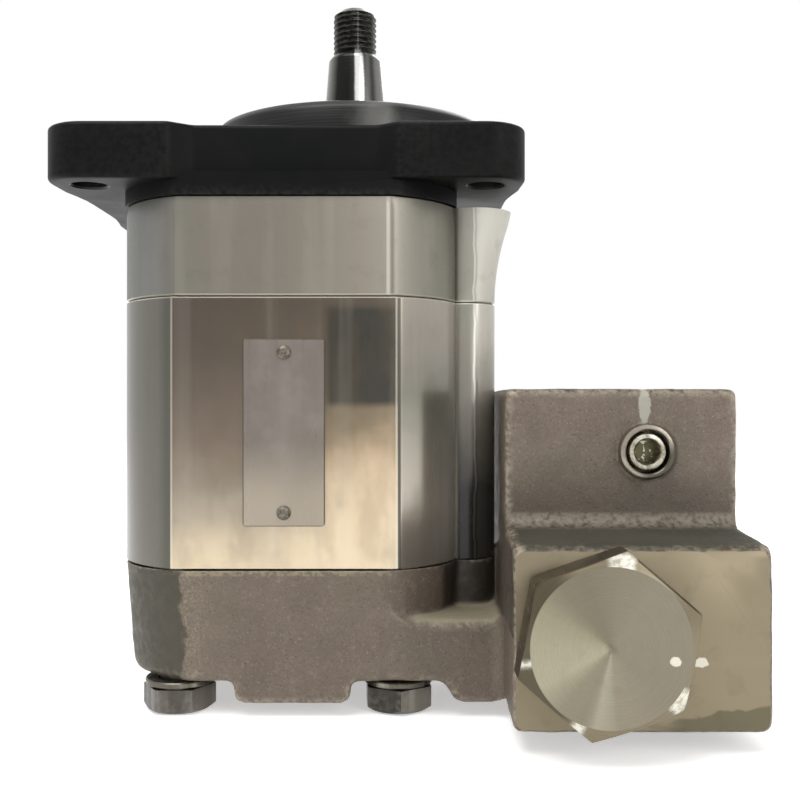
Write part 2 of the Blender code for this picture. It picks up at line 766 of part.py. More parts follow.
def neck_section(x, low, top, inset):
    """An upright section across the neck at x. Its front follows the cover's draft."""
    r = 0.0025
    slope = COVER_DRAFT / COVER_HEIGHT
    front_top = FRONT_Y + inset + slope * (COVER_TOP - top)
    front_low = FRONT_Y + inset + slope * (COVER_TOP - low)
    points = arc((NECK_BACK - r, low + r), r, -math.pi / 2, 0, 3)
    points += arc((NECK_BACK - r, top - r), r, 0, math.pi / 2, 3)
    points += arc((front_top + r, top - r), r, math.pi / 2, math.pi, 3)
    points += arc((front_low + r, low + r), r, math.pi, 1.5 * math.pi, 3)
    return [(x, y, z) for y, z in points]


def neck_solid():
    """The bridge from cover to block, which fills the cover's corner on its way."""
    bm = bmesh.new()
    low = COVER_Z - FOOT_HEIGHT
    flush = COVER_Z + 0.0003
    bend = BODY_X + BOLT_X + WASHER_RADIUS
    sections = (
        (SIDE_X - 0.0208, flush + 0.002, NECK_TOP + 0.0091, 0.0016),
        (SIDE_X - 0.0178, flush, NECK_TOP + 0.0066, 0.0004),
        (SIDE_X - 0.0153, flush, NECK_TOP + 0.0024, 0.0001),
        (SIDE_X - 0.0120, flush, NECK_TOP + 0.0004, 0.0001),
        (bend + 0.0012, flush, NECK_TOP, 0.0001),
        (bend + 0.0030, flush - 0.0005, NECK_TOP, 0.0001),
        (bend + 0.0043, (flush + low) / 2, NECK_TOP, 0.0001),
        (bend + 0.0053, low + 0.0009, NECK_TOP, 0.0001),
        (bend + 0.0072, low, NECK_TOP, 0.0001),
        (BLOCK_LEFT - 0.0018, low, NECK_TOP, 0.0001),
        (BLOCK_LEFT, low + 0.0008, NECK_TOP + 0.0008, -0.0012),
        (BLOCK_LEFT + 0.003, low + 0.0030, NECK_TOP + 0.0036, -0.0042),
    )
    rings = [[bm.verts.new(point) for point in neck_section(*section)] for section in sections]
    for first, second in zip(rings, rings[1:]):
        for i, corner in enumerate(first):
            j = (i + 1) % len(first)
            bm.faces.new((corner, first[j], second[j], second[i]))
    bm.faces.new(rings[0])
    bm.faces.new(rings[-1])
    return bm


def foot_solid():
    """The boss under the cover between the bolt heads, with its ends swept up into the cover."""
    half = FOOT_LENGTH / 2
    front, back = FRONT_Y + COVER_DRAFT + 0.0005, -FRONT_Y - COVER_DRAFT - 0.0005
    low = COVER_Z - FOOT_HEIGHT
    top = COVER_Z + 0.004
    r = FOOT_FILLET
    side = arc((half - r * 0.7, low + r), r, -math.pi / 2, -math.pi / 8, 3)
    side += [(half + 0.0009, COVER_Z - 0.0003), (half + 0.0022, COVER_Z + 0.0009), (half + 0.0022, top)]
    outline = side + [(-x, z) for x, z in reversed(side)]
    bm = bmesh.new()
    rings = []
    for y, inset in ((front, 0.0010), (front + 0.001, 0.0), (back - 0.001, 0.0), (back, 0.0010)):
        ring_points = [(FOOT_X + x, y, max(z, low + inset)) for x, z in outline]
        rings.append([bm.verts.new(point) for point in ring_points])
    for first, second in zip(rings, rings[1:]):
        for i, corner in enumerate(first):
            j = (i + 1) % len(first)
            bm.faces.new((corner, first[j], second[j], second[i]))
    bm.faces.new(rings[0])
    bm.faces.new(rings[-1])
    return bm


def make_cover():
    """Iron rear cover, foot, neck and valve block, cast in one, with the block's bores."""
    rounding = COVER_ROUNDING
    levels = [
        (COVER_Z, cover_outline(COVER_DRAFT + rounding * 0.75)),
        (COVER_Z + rounding * 0.25, cover_outline(COVER_DRAFT + rounding * 0.3)),
        (COVER_Z + rounding, cover_outline(COVER_DRAFT)),
        (COVER_TOP - 0.0008, cover_outline(0.0)),
        (COVER_TOP, cover_outline(0.0005)),
    ]
    cover = place(mesh_object("rear_cover", lofted(levels), cast_iron))
    for name, solid in (("foot", foot_solid()), ("neck", neck_solid()), ("block", block_solid())):
        combine(cover, "UNION", place(mesh_object("cover_" + name, solid)))
    rib = mesh_object("cover_rib", rod(RIB_RADIUS, NECK_TOP - 0.004, COVER_TOP, MEDIUM))
    combine(cover, "UNION", place(rib, (SIDE_X + RIB_OUT, RIB_Y, 0.0)))
    for x, y in bolt_places():
        low = COVER_Z - FOOT_HEIGHT - 0.001
        drill(cover, "cover_bolt_drill", BOLT_RADIUS + BOLT_HOLE_GAP, low, COVER_TOP + 0.001, (x, y, 0.0))
    dowel_holes(cover, COVER_TOP)
    drill(cover, "cover_gallery", GALLERY_RADIUS, GALLERY_Z, COVER_TOP + 0.001, (BODY_X, GALLERY_Y, 0.0))
    length = PLUG_X - BODY_X
    passage = along_x(rod(GALLERY_RADIUS, -GALLERY_RADIUS, length, COARSE))
    combine(cover, "DIFFERENCE", place(mesh_object("cover_passage", passage), (BODY_X, GALLERY_Y, GALLERY_Z)))
    cut_block_bores(cover)


def cut_block_bores(cover):
    bore = around(SPOOL_RADIUS + RUN_GAP, MEDIUM)
    shank = around(PLUG_SHANK_RADIUS + RUN_GAP, MEDIUM)
    recess = PLUG_SHANK_RADIUS + 2 * PLUG_CORD_RADIUS + 2 * GROOVE_GAP
    profile = [
        (0.0, -SPOOL_BORE_LENGTH),
        (bore, -SPOOL_BORE_LENGTH),
        (bore, -PLUG_SHANK_LENGTH - SEAT_GAP),
        (shank, -PLUG_SHANK_LENGTH - SEAT_GAP),
        (shank, -PLUG_SEAL_RECESS),
        (recess, -PLUG_SEAL_RECESS),
        (recess, 0.001),
        (0.0, 0.001),
    ]
    cutter = mesh_object("spool_bore", turned(profile, MEDIUM))
    combine(cover, "DIFFERENCE", place(cutter, (PLUG_X, -LOWER_FRONT, PLUG_Z), True))
    for name, y in (("priority_port", PRIORITY_PORT_Y), ("excess_port", EXCESS_PORT_Y)):
        wide = around(SERVICE_PORT_RADIUS, COARSE)
        profile = [
            (0.0, PLUG_X - BLOCK_RIGHT),
            (GALLERY_RADIUS, PLUG_X - BLOCK_RIGHT),
            (GALLERY_RADIUS, -SERVICE_PORT_DEPTH),
            (wide, -SERVICE_PORT_DEPTH),
            (wide, 0.001),
            (0.0, 0.001),
        ]
        cutter = mesh_object(name, along_x(turned(profile, COARSE)))
        combine(cover, "DIFFERENCE", place(cutter, (BLOCK_RIGHT, y, PLUG_Z)))
    guide = around(SCREW_RADIUS + RUN_GAP, COARSE)
    collar = around(COLLAR_RADIUS + RUN_GAP, COARSE)
    profile = [
        (0.0, -relief_bore_length()),
        (guide, -relief_bore_length()),
        (guide, -COLLAR_DEPTH),
        (collar, -COLLAR_DEPTH),
        (collar, 0.001),
        (0.0, 0.001),
    ]
    cutter = mesh_object("relief_bore", turned(profile, COARSE))
    combine(cover, "DIFFERENCE", place(cutter, (RELIEF_X, -UPPER_FRONT, RELIEF_Z), True))
    y = relief_bore_length() - UPPER_FRONT - RELIEF_DRILL_RADIUS - 0.001
    drill(cover, "relief_drain", RELIEF_DRILL_RADIUS, PLUG_Z, RELIEF_Z, (RELIEF_X, y, 0.0), 12)


def relief_seat_depth():
    """Depth of the relief seat's near face under the upper block's face."""
    spring = SCREW_DEPTH + SPRING_SEAT_THICKNESS + RELIEF_SPRING_LENGTH + 3 * SEAT_GAP
    return spring + POPPET_GUIDE + SEAT_GAP


def relief_bore_length():
    return relief_seat_depth() + RELIEF_SEAT_THICKNESS + 2 * RELIEF_DRILL_RADIUS + 0.002


def make_bolts():
    top = FLANGE_Z + BOLT_IN_FLANGE
    corner = HEAD_FLATS / 2 / math.cos(math.pi / 6)
    profile = [
        (0.0, 0.0),
        (HEAD_FLATS * 0.47, 0.0),
        (corner, 0.0012),
        (corner, HEAD_HEIGHT),
        (BOLT_RADIUS, HEAD_HEIGHT),
        (BOLT_RADIUS, top - 0.001),
        (BOLT_RADIUS - 0.001, top),
        (0.0, top),
    ]
    washer = ring(BOLT_RADIUS + SEAT_GAP, WASHER_RADIUS, WASHER_Z, WASHER_Z + WASHER_THICKNESS, 24)
    washer_mesh = mesh_object("bolt_washer_1", washer, zinc_steel)
    for i, (x, y) in enumerate(bolt_places()):
        bolt = mesh_object(f"through_bolt_{i + 1}", turned(profile, 24), dark_steel)
        hexagon = prism(arc((0, 0), corner, 0, 2 * math.pi, 6)[:-1], -0.001, top + 0.001)
        flats = mesh_object("bolt_flats", hexagon)
        flats.rotation_euler.z = math.radians(17 * i)
        combine(bolt, "INTERSECT", place(flats, (x, y, 0.0)))
        place(bolt, (x, y, 0.0))
        if i == 0:
            place(washer_mesh, (x, y, 0.0))
            continue
        copy = bpy.data.objects.new(f"bolt_washer_{i + 1}", washer_mesh.data)
        bpy.context.scene.collection.objects.link(copy)
        place(copy, (x, y, 0.0))


def involute(angle):
    return math.tan(angle) - angle


def gear_outline(first_tooth):
    """Involute teeth about the origin, with the first one centred on the given angle."""
    pitch = CENTRE_DISTANCE / 2
    base = pitch * math.cos(PRESSURE_ANGLE)
    half_tooth = math.pi / (2 * TEETH) - BACKLASH / (4 * pitch)
    points = []
    for tooth in range(TEETH):
        centre = first_tooth + 2 * math.pi * tooth / TEETH
        flank = [(GEAR_ROOT_RADIUS, half_tooth + 0.055)]
        for step in range(5):
            radius = base + 0.0001 + (GEAR_TIP_RADIUS - base - 0.0001) * step / 4
            pressure = math.acos(base / radius)
            half = half_tooth + involute(PRESSURE_ANGLE) - involute(pressure)
            flank.append((radius, half))
        outline = [(r, -a) for r, a in flank] + [(r, a) for r, a in reversed(flank)]
        points += [(r * math.cos(centre + a), r * math.sin(centre + a)) for r, a in outline]
    return points


def make_gears():
    """Drive gear forged with its shaft, and the driven gear beside it, meshed at rest."""
    axis = (0.0, 0.0, 0.0)
    journal_low = BODY_Z + SEAT_GAP
    taper_low = PILOT_TOP + TAPER_BASE
    taper_top = taper_low + TAPER_LENGTH
    thread_low = taper_top + SHOULDER_LENGTH
    end = thread_low + THREAD_LENGTH
    groove_low = bearing_ring_z() - GROOVE_GAP / 2
    groove_high = groove_low + RING_WIRE + GROOVE_GAP
    groove_radius = BEARING_SEAT_RADIUS - RING_DEPTH / 2
    profile = [
        (0.0, journal_low),
        (JOURNAL_RADIUS - 0.0008, journal_low),
        (JOURNAL_RADIUS, journal_low + 0.0008),
        (JOURNAL_RADIUS, BEARING_Z - SEAT_GAP),
        (BEARING_SEAT_RADIUS, BEARING_Z - SEAT_GAP),
        (BEARING_SEAT_RADIUS, groove_low),
        (groove_radius, groove_low),
        (groove_radius, groove_high),
        (BEARING_SEAT_RADIUS, groove_high),
        (BEARING_SEAT_RADIUS, taper_low),
        (TAPER_TOP_RADIUS, taper_top),
        (TAPER_TOP_RADIUS * 0.93, taper_top + SHOULDER_LENGTH * 0.45),
        (THREAD_RADIUS, thread_low),
        (THREAD_RADIUS, end - THREAD_END_ROUNDING),
        (THREAD_RADIUS - THREAD_END_ROUNDING * 0.3, end - THREAD_END_ROUNDING * 0.35),
        (THREAD_RADIUS - THREAD_END_ROUNDING, end),
        (0.0, end),
    ]
    drive = place(mesh_object("drive_gear_shaft", turned(profile, MEDIUM), ground_steel), axis)
    teeth = mesh_object("drive_teeth", prism(gear_outline(math.pi), GEAR_Z, GEAR_Z + GEAR_WIDTH))
    combine(drive, "UNION", place(teeth, axis))
    make_key(drive, taper_low)
    journal_high = BODY_TOP - SEAT_GAP
    profile = [
        (0.0, journal_low),
        (JOURNAL_RADIUS - 0.0008, journal_low),
        (JOURNAL_RADIUS, journal_low + 0.0008),
        (JOURNAL_RADIUS, journal_high - 0.0008),
        (JOURNAL_RADIUS - 0.0008, journal_high),
        (0.0, journal_high),
    ]
    axis = (-CENTRE_DISTANCE, 0.0, 0.0)
    driven = place(mesh_object("driven_gear", turned(profile, MEDIUM), ground_steel), axis)
    outline = gear_outline(math.pi / TEETH)
    teeth = mesh_object("driven_teeth", prism(outline, GEAR_Z, GEAR_Z + GEAR_WIDTH))
    combine(driven, "UNION", place(teeth, axis))


def make_key(drive, taper_low):
    """Half-moon key in the taper, on the side turned away from the front."""
    middle = taper_low + KEY_RISE
    taper = (BEARING_SEAT_RADIUS - TAPER_TOP_RADIUS) / TAPER_LENGTH
    surface = BEARING_SEAT_RADIUS - taper * KEY_RISE
    top = surface - KEY_DEPTH + KEY_HEIGHT
    centre = top - KEY_HEIGHT + KEY_RADIUS
    half_angle = math.acos((KEY_RADIUS - KEY_HEIGHT) / KEY_RADIUS)
    down = -math.pi / 2
    outline = arc((0.0, centre), KEY_RADIUS, down - half_angle, down + half_angle, 14)
    upright = Matrix(((0, 0, 1, 0), (0, 1, 0, 0), (-1, 0, 0, middle), (0, 0, 0, 1)))
    key = prism(outline, -KEY_WIDTH / 2, KEY_WIDTH / 2)
    bmesh.ops.transform(key, matrix=upright, verts=key.verts)
    place(mesh_object("woodruff_key", key, zinc_steel))
    half_slot = KEY_WIDTH / 2 + RUN_GAP
    slot = prism(arc((0.0, centre), KEY_RADIUS + SEAT_GAP, 0, 2 * math.pi, 36)[:-1], -half_slot, half_slot)
    bmesh.ops.transform(slot, matrix=upright, verts=slot.verts)
    combine(drive, "DIFFERENCE", place(mesh_object("key_slot", slot)))


def figure_eight(radius, steps):
    """Two equal circles joined at their crossing points, seen from above."""
    crossing = math.acos(CENTRE_DISTANCE / 2 / radius)
    right = arc((0, 0), radius, crossing - math.pi, math.pi - crossing, steps)
    left = arc((-CENTRE_DISTANCE, 0), radius, crossing, 2 * math.pi - crossing, steps)
    return right[:-1] + left[:-1]


def make_blocks():
    """Bearing blocks above and below the gears, with their bushes and balance seals."""
    bush_radius = JOURNAL_RADIUS + RUN_GAP + BUSH_WALL
    outline = figure_eight(CHAMBER_RADIUS - BLOCK_SIDE_GAP, 24)
    bush = 0
    seal_radius = bush_radius + BLOCK_SEAL_OFFSET
    edge = math.radians(20)
    path = arc((-CENTRE_DISTANCE, 0), seal_radius, math.radians(170), 2 * math.pi - edge, 10)
    path += arc((0, 0), seal_radius, edge - math.pi, math.radians(10), 10)
    places = (("rear", BODY_Z, 1), ("front", BODY_TOP - BLOCK_THICKNESS, -1))
    for name, low, into in places:
        high = low + BLOCK_THICKNESS
        block = place(mesh_object("bearing_block_" + name, prism(outline, low, high), cast_aluminium))
        for x in (0.0, -CENTRE_DISTANCE):
            hole = bush_radius + RUN_GAP
            drill(block, "bush_drill", hole, low - 0.001, high + 0.001, (x, 0.0, 0.0), MEDIUM)
            bush += 1
            tube = ring(JOURNAL_RADIUS + RUN_GAP, bush_radius, low + SEAT_GAP, high - SEAT_GAP, MEDIUM)
            place(mesh_object(f"journal_bush_{bush}", tube, bronze), (x, 0.0, 0.0))
        face = low if into > 0 else high
        depth = 2 * BLOCK_SEAL_RADIUS + GROOVE_GAP
        first, last = sorted((face + into * depth, face - into * 0.001))
        cutter = groove(path, BLOCK_SEAL_RADIUS + GROOVE_GAP, first, last, False)
        combine(block, "DIFFERENCE", place(mesh_object("block_seal_groove", cutter)))
        z = face + into * BLOCK_SEAL_RADIUS
        inner = path[1:-1]
        points = [(x, y, z) for x, y in inner]
        place(cord("block_seal_" + name, points, BLOCK_SEAL_RADIUS, False, black_rubber, 1))


def bearing_ring_z():
    """Underside of the shaft's retaining ring, just above the ball bearing."""
    return BEARING_Z + BEARING_WIDTH + SEAT_GAP


def make_bearing():
    """Outboard ball bearing between the front housing and the shaft."""
    middle = BEARING_Z + BEARING_WIDTH / 2
    track = BALL_RADIUS + FACE_GAP
    half = BEARING_WIDTH / 2
    wide = math.acos((RING_SHOULDER + FACE_GAP) / track)
    inner_bore = around(BEARING_SEAT_RADIUS + RUN_GAP, MEDIUM)
    inner_edge = BALL_PITCH_RADIUS - RING_SHOULDER - FACE_GAP
    inner = [(inner_bore, middle - half), (inner_edge, middle - half)]
    inner += arc((BALL_PITCH_RADIUS, middle), track, math.pi + wide, math.pi - wide, 6)
    inner += [(inner_edge, middle + half), (inner_bore, middle + half)]
    place(mesh_object("bearing_inner_ring", turned(inner, MEDIUM), ground_steel))
    outer_edge = BALL_PITCH_RADIUS + RING_SHOULDER + FACE_GAP
    outer_radius = BEARING_RADIUS - RUN_GAP
    outer = [(outer_radius, middle + half), (outer_edge, middle + half)]
    outer += arc((BALL_PITCH_RADIUS, middle), track, wide, -wide, 6)
    outer += [(outer_edge, middle - half), (outer_radius, middle - half)]
    outer = [(r if r == outer_radius else around(r, MEDIUM), z) for r, z in outer]
    place(mesh_object("bearing_outer_ring", turned(outer, MEDIUM), ground_steel))
    low, high = middle - CAGE_HALF_WIDTH, middle + CAGE_HALF_WIDTH
    inside, outside = BALL_PITCH_RADIUS - CAGE_HALF_WALL, BALL_PITCH_RADIUS + CAGE_HALF_WALL
    cage = place(mesh_object("bearing_ball_cage", ring(inside, outside, low, high, MEDIUM), bronze))
    balls = bmesh.new()
    for i in range(BALL_COUNT):
        angle = 2 * math.pi * (i + 0.5) / BALL_COUNT
        spot = (BALL_PITCH_RADIUS * math.cos(angle), BALL_PITCH_RADIUS * math.sin(angle), middle)
        where = Matrix.Translation(spot) @ Matrix.Rotation(angle, 4, "Z")
        bmesh.ops.create_uvsphere(balls, u_segments=10, v_segments=6, radius=BALL_RADIUS, matrix=where)
    combine(cage, "UNION", place(mesh_object("ball_set", balls)))
    rim = BEARING_SEAT_RADIUS - RING_DEPTH / 2 + RUN_GAP * 2
    make_retaining_ring("shaft_circlip", rim, RING_REACH, bearing_ring_z())


def make_dowels():
    spots = ((DOWEL_X, DOWEL_Y), (-DOWEL_X, -DOWEL_Y))
    half = DOWEL_LENGTH / 2
    profile = [
        (0.0, -half),
        (DOWEL_RADIUS - 0.0005, -half),
        (DOWEL_RADIUS, -half + 0.0005),
        (DOWEL_RADIUS, half - 0.0005),
        (DOWEL_RADIUS - 0.0005, half),
        (0.0, half),
    ]
    faces = (COVER_TOP + SEAT_GAP / 2, BODY_TOP + SEAT_GAP / 2)
    for i, z in enumerate(faces):
        for j, (x, y) in enumerate(spots):
            pin = mesh_object(f"dowel_pin_{2 * i + j + 1}", turned(profile, 16), ground_steel)
            place(pin, (BODY_X + x, y, z))


def make_priority_valve():
    """Plug, seal, spool and spring in the lower bore. Heights are outwards from the block's face."""
    face = (PLUG_X, -LOWER_FRONT, PLUG_Z)
    corner = PLUG_FLATS / 2 / math.cos(math.pi / 6)
    head_low, head_high = SEAT_GAP, SEAT_GAP + PLUG_HEAD
    drop = (corner - PLUG_CHAMFER_RADIUS) * 0.55
    profile = [
        (0.0, -PLUG_SHANK_LENGTH),
        (PLUG_SHANK_RADIUS - 0.001, -PLUG_SHANK_LENGTH),
        (PLUG_SHANK_RADIUS, -PLUG_SHANK_LENGTH + 0.001),
        (PLUG_SHANK_RADIUS, head_low),
        (corner + 0.0002, head_low),
        (corner + 0.0002, head_high - drop),
        (PLUG_CHAMFER_RADIUS, head_high),
        (0.0, head_high),
    ]
    plug = mesh_object("valve_plug", turned(profile, FINE), bright_steel)
    start = math.pi / 2 - PLUG_TURN
    hexagon = arc((0, 0), corner, start, start + 2 * math.pi, 6)[:-1]
    flats = mesh_object("plug_flats", prism(hexagon, -PLUG_SHANK_LENGTH - 0.001, head_high + 0.001))
    combine(plug, "INTERSECT", place(flats, face, True))
    place(plug, face, True)
    seal_radius = PLUG_SHANK_RADIUS + GROOVE_GAP + PLUG_CORD_RADIUS
    path = arc((0, 0), seal_radius, 0, 2 * math.pi, 28)[:-1]
    points = [(x, y, -PLUG_CORD_RADIUS) for x, y in path]
    place(cord("plug_seal", points, PLUG_CORD_RADIUS, True, black_rubber, 1), face, True)
    front = -PLUG_SHANK_LENGTH - SEAT_GAP
    back = front - SPOOL_LENGTH
    third = SPOOL_LENGTH / 7
    profile = [(0.0, back), (SPOOL_RADIUS, back)]
    for land in (1, 3):
        low = back + third * (land + 0.5)
        profile += [(SPOOL_RADIUS, low), (SPOOL_WAIST, low)]
        profile += [(SPOOL_WAIST, low + third), (SPOOL_RADIUS, low + third)]
    profile += [(SPOOL_RADIUS, front - 0.0006), (SPOOL_RADIUS - 0.0006, front), (0.0, front)]
    place(mesh_object("priority_spool", turned(profile, MEDIUM), ground_steel), face, True)
    margin = SPOOL_WIRE_RADIUS + SEAT_GAP
    low, high = -SPOOL_BORE_LENGTH + margin, back - margin
    points = coil(SPOOL_SPRING_RADIUS, low, high, SPOOL_COILS, 10)
    place(cord("spool_spring", points, SPOOL_WIRE_RADIUS, False, spring_steel, 1), face, True)


def make_relief_valve():
    """Collar, adjusting screw, spring, poppet and seat in the upper bore."""
    face = (RELIEF_X, -UPPER_FRONT, RELIEF_Z)
    collar_low = -COLLAR_DEPTH + SEAT_GAP
    bore = around(COLLAR_RADIUS - COLLAR_WALL, 24)
    profile = [
        (bore, collar_low),
        (COLLAR_RADIUS, collar_low),
        (COLLAR_RADIUS, COLLAR_STAND - 0.0006),
        (COLLAR_RADIUS - 0.0005, COLLAR_STAND),
        (bore, COLLAR_STAND),
    ]
    place(mesh_object("relief_collar", turned(profile, 24), bright_steel), face, True)
    screw_low = -SCREW_DEPTH
    profile = [
        (0.0, screw_low),
        (SCREW_RADIUS - 0.0006, screw_low),
        (SCREW_RADIUS, screw_low + 0.0006),
        (SCREW_RADIUS, SCREW_STAND - 0.0006),
        (SCREW_RADIUS - 0.0006, SCREW_STAND),
        (0.0, SCREW_STAND),
    ]
    screw = mesh_object("relief_screw", turned(profile, COARSE), dark_steel)
    socket = arc((0, 0), SOCKET_RADIUS, 0, 2 * math.pi, 6)[:-1]
    cutter = mesh_object("screw_socket", prism(socket, SCREW_STAND - SOCKET_DEPTH, SCREW_STAND + 0.001))
    combine(screw, "DIFFERENCE", place(cutter, face, True))
    place(screw, face, True)
    high = screw_low - SEAT_GAP
    low = high - SPRING_SEAT_THICKNESS
    inside = RELIEF_SPRING_RADIUS - RELIEF_WIRE_RADIUS - SEAT_GAP
    profile = [(0.0, low - 0.002), (inside, low - 0.002), (inside, low), (SCREW_RADIUS - 0.0002, low)]
    profile += [(SCREW_RADIUS - 0.0002, high), (0.0, high)]
    place(mesh_object("relief_spring_seat", turned(profile, COARSE), dark_steel), face, True)
    spring_high = low - SEAT_GAP
    spring_low = spring_high - RELIEF_SPRING_LENGTH
    ends = RELIEF_WIRE_RADIUS
    points = coil(RELIEF_SPRING_RADIUS, spring_low + ends, spring_high - ends, RELIEF_COILS, 8)
    place(cord("relief_spring", points, RELIEF_WIRE_RADIUS, False, spring_steel, 0), face, True)
    high = spring_low - SEAT_GAP
    low = high - POPPET_GUIDE
    taper = RELIEF_SEAT_HOLE - SEAT_GAP
    profile = [
        (0.0, low - POPPET_CONE),
        (POPPET_TIP_RADIUS, low - POPPET_CONE),
        (taper, low - POPPET_CONE * 0.2),
        (taper, low),
        (SCREW_RADIUS - 0.0002, low),
        (SCREW_RADIUS - 0.0002, high),
        (0.0, high),
    ]
    place(mesh_object("relief_poppet", turned(profile, COARSE), ground_steel), face, True)
    high = -relief_seat_depth()
    low = high - RELIEF_SEAT_THICKNESS
    seat = ring(RELIEF_SEAT_HOLE, SCREW_RADIUS, low, high, COARSE)
    place(mesh_object("relief_seat", seat, bright_steel), face, True)


clear_scene()
pump_frame = bpy.data.objects.new("pump_frame", None)
bpy.context.scene.collection.objects.link(pump_frame)
pump_frame.location = SHIFT

black_paint = finish("black_paint", (0.013, 0.013, 0.013), 0.45, 0.0)
cast_aluminium = finish("cast_aluminium", (0.42, 0.40, 0.36), 0.42, 0.85)
bright_aluminium = finish("bright_aluminium", (0.62, 0.60, 0.55), 0.14, 1.0)
cast_iron = finish("cast_iron", (0.18, 0.155, 0.13), 0.6, 0.5)
dark_steel = finish("dark_steel", (0.14, 0.135, 0.13), 0.4, 0.9)
zinc_steel = finish("zinc_steel", (0.45, 0.45, 0.44), 0.3, 1.0)
ground_steel = finish("ground_steel", (0.40, 0.40, 0.39), 0.22, 1.0)
bright_steel = finish("bright_steel", (0.55, 0.53, 0.47), 0.3, 1.0)
spring_steel = finish("spring_steel", (0.10, 0.10, 0.11), 0.35, 1.0)
bronze = finish("bronze", (0.45, 0.30, 0.15), 0.35, 1.0)
plate_metal = finish("plate_metal", (0.40, 0.38, 0.34), 0.35, 1.0)
black_rubber = finish("black_rubber", (0.02, 0.02, 0.02), 0.7, 0.0)

make_flange()
make_housing()
make_body()
make_cover()
make_bolts()
make_gears()
make_blocks()
make_bearing()
make_dowels()
make_priority_valve()
make_relief_valve()
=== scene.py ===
"""Gear pump with a priority valve, dressed piece by piece in the order in which it is put together."""
import math

import bmesh
import bpy
from mathutils import Matrix, Vector, noise


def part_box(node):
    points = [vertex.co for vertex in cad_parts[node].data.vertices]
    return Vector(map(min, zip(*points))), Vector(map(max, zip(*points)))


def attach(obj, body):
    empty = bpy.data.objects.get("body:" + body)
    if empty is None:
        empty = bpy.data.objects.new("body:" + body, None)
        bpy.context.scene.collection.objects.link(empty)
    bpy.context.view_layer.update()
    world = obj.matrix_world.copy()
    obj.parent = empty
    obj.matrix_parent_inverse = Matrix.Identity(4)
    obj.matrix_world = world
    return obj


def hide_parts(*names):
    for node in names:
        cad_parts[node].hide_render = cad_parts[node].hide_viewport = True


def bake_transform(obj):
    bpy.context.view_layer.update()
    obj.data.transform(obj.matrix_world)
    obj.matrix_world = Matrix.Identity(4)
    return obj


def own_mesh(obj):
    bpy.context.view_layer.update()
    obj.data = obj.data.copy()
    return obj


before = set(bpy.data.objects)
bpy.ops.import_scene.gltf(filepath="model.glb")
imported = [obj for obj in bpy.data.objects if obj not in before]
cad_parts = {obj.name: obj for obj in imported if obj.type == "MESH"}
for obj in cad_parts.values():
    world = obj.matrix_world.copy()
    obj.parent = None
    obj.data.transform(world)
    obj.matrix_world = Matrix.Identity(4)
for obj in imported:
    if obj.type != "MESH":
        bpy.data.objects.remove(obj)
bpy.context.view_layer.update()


# ---------------------------------------------------------------- rear cover and valve block
# One grey iron casting: the end cover, the boss between the bolt heads, the neck and the valve
# block. It is sand cast, so its skin is grainy and its edges are soft. The joint face, the
# block's front, the bores and the bolt seats are machined afterwards and are bare iron.

RING_LOW, RING_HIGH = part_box("bearing_outer_ring")
SHAFT_AXIS = Vector(((RING_LOW.x + RING_HIGH.x) / 2, (RING_LOW.y + RING_HIGH.y) / 2, 0.0))

PUMP_MIDDLE_X = -0.0155
SECTION_LENGTH, SECTION_WIDTH = 0.0856, 0.088
CORNER_FLAT_Y, CORNER_CROWN = 0.055, 0.030
COVER_LOW, COVER_TOP = 0.0083, 0.0365
COVER_DRAFT = 0.0016
SIDE_X = PUMP_MIDDLE_X + SECTION_LENGTH / 2
FRONT_Y = -SECTION_WIDTH / 2
RIB_X, RIB_Y, RIB_RADIUS = SIDE_X + 0.0035, -0.019, 0.0075
BOLT_SPACING_X, BOLT_SPACING_Y = 0.056, 0.064
BLOCK_LEFT, BLOCK_RIGHT, BLOCK_BACK = 0.0379, 0.0957, 0.018
BLOCK_LOW, LEDGE_Z, BLOCK_TOP = 0.0046, 0.0462, 0.0811
LOWER_FRONT, UPPER_FRONT = -0.0692, -0.044
CAST_SPARE = 0.0007
VALVE_X, VALVE_Z = 0.0575, 0.026
RELIEF_X, RELIEF_Z = 0.073, 0.0658
BOLT_PLACES = [
    (PUMP_MIDDLE_X + x * BOLT_SPACING_X / 2, y * BOLT_SPACING_Y / 2) for x in (-1, 1) for y in (-1, 1)
]
DOWEL_PLACES = [(PUMP_MIDDLE_X + 0.036, 0.018), (PUMP_MIDDLE_X - 0.036, -0.018)]
BOLT_HOLE, BOLT_SEAT, DOWEL_HOLE, OIL_HOLE = 0.0055, 0.0096, 0.00308, 0.0045
OIL_Y, OIL_Z = -0.0135, 0.017
PORT_PLACES_Y = (-0.038, 0.0)


def arc(centre, radius, start, end, steps):
    """Points along a circular arc, both ends included."""
    angles = [start + (end - start) * i / steps for i in range(steps + 1)]
    return [(centre[0] + radius * math.cos(a), centre[1] + radius * math.sin(a)) for a in angles]


def crowned(start, end, radius, steps):
    """An arc of the given radius from start to end, bulging to the right of the way there."""
    a, b = Vector(start), Vector(end)
    half = (b - a) / 2
    left = Vector((-half.y, half.x)).normalized()
    centre = a + half + left * math.sqrt(max(radius**2 - half.length_squared, 0.0))
    first = math.atan2(a.y - centre.y, a.x - centre.x)
    last = math.atan2(b.y - centre.y, b.x - centre.x)
    return arc(centre, radius, first, last + (2 * math.pi if last < first else 0.0), steps)


def four_fold(quadrant, centre_x):
    """A whole outline from its first quadrant, mirrored about both axes."""
    upper = quadrant + [(-x, y) for x, y in reversed(quadrant)]
    points = []
    for x, y in upper + [(-x, -y) for x, y in upper]:
        point = (centre_x + x, y)
        if not points or math.dist(point, points[-1]) > 1e-6:
            points.append(point)
    return points[:-1] if math.dist(points[0], points[-1]) < 1e-6 else points


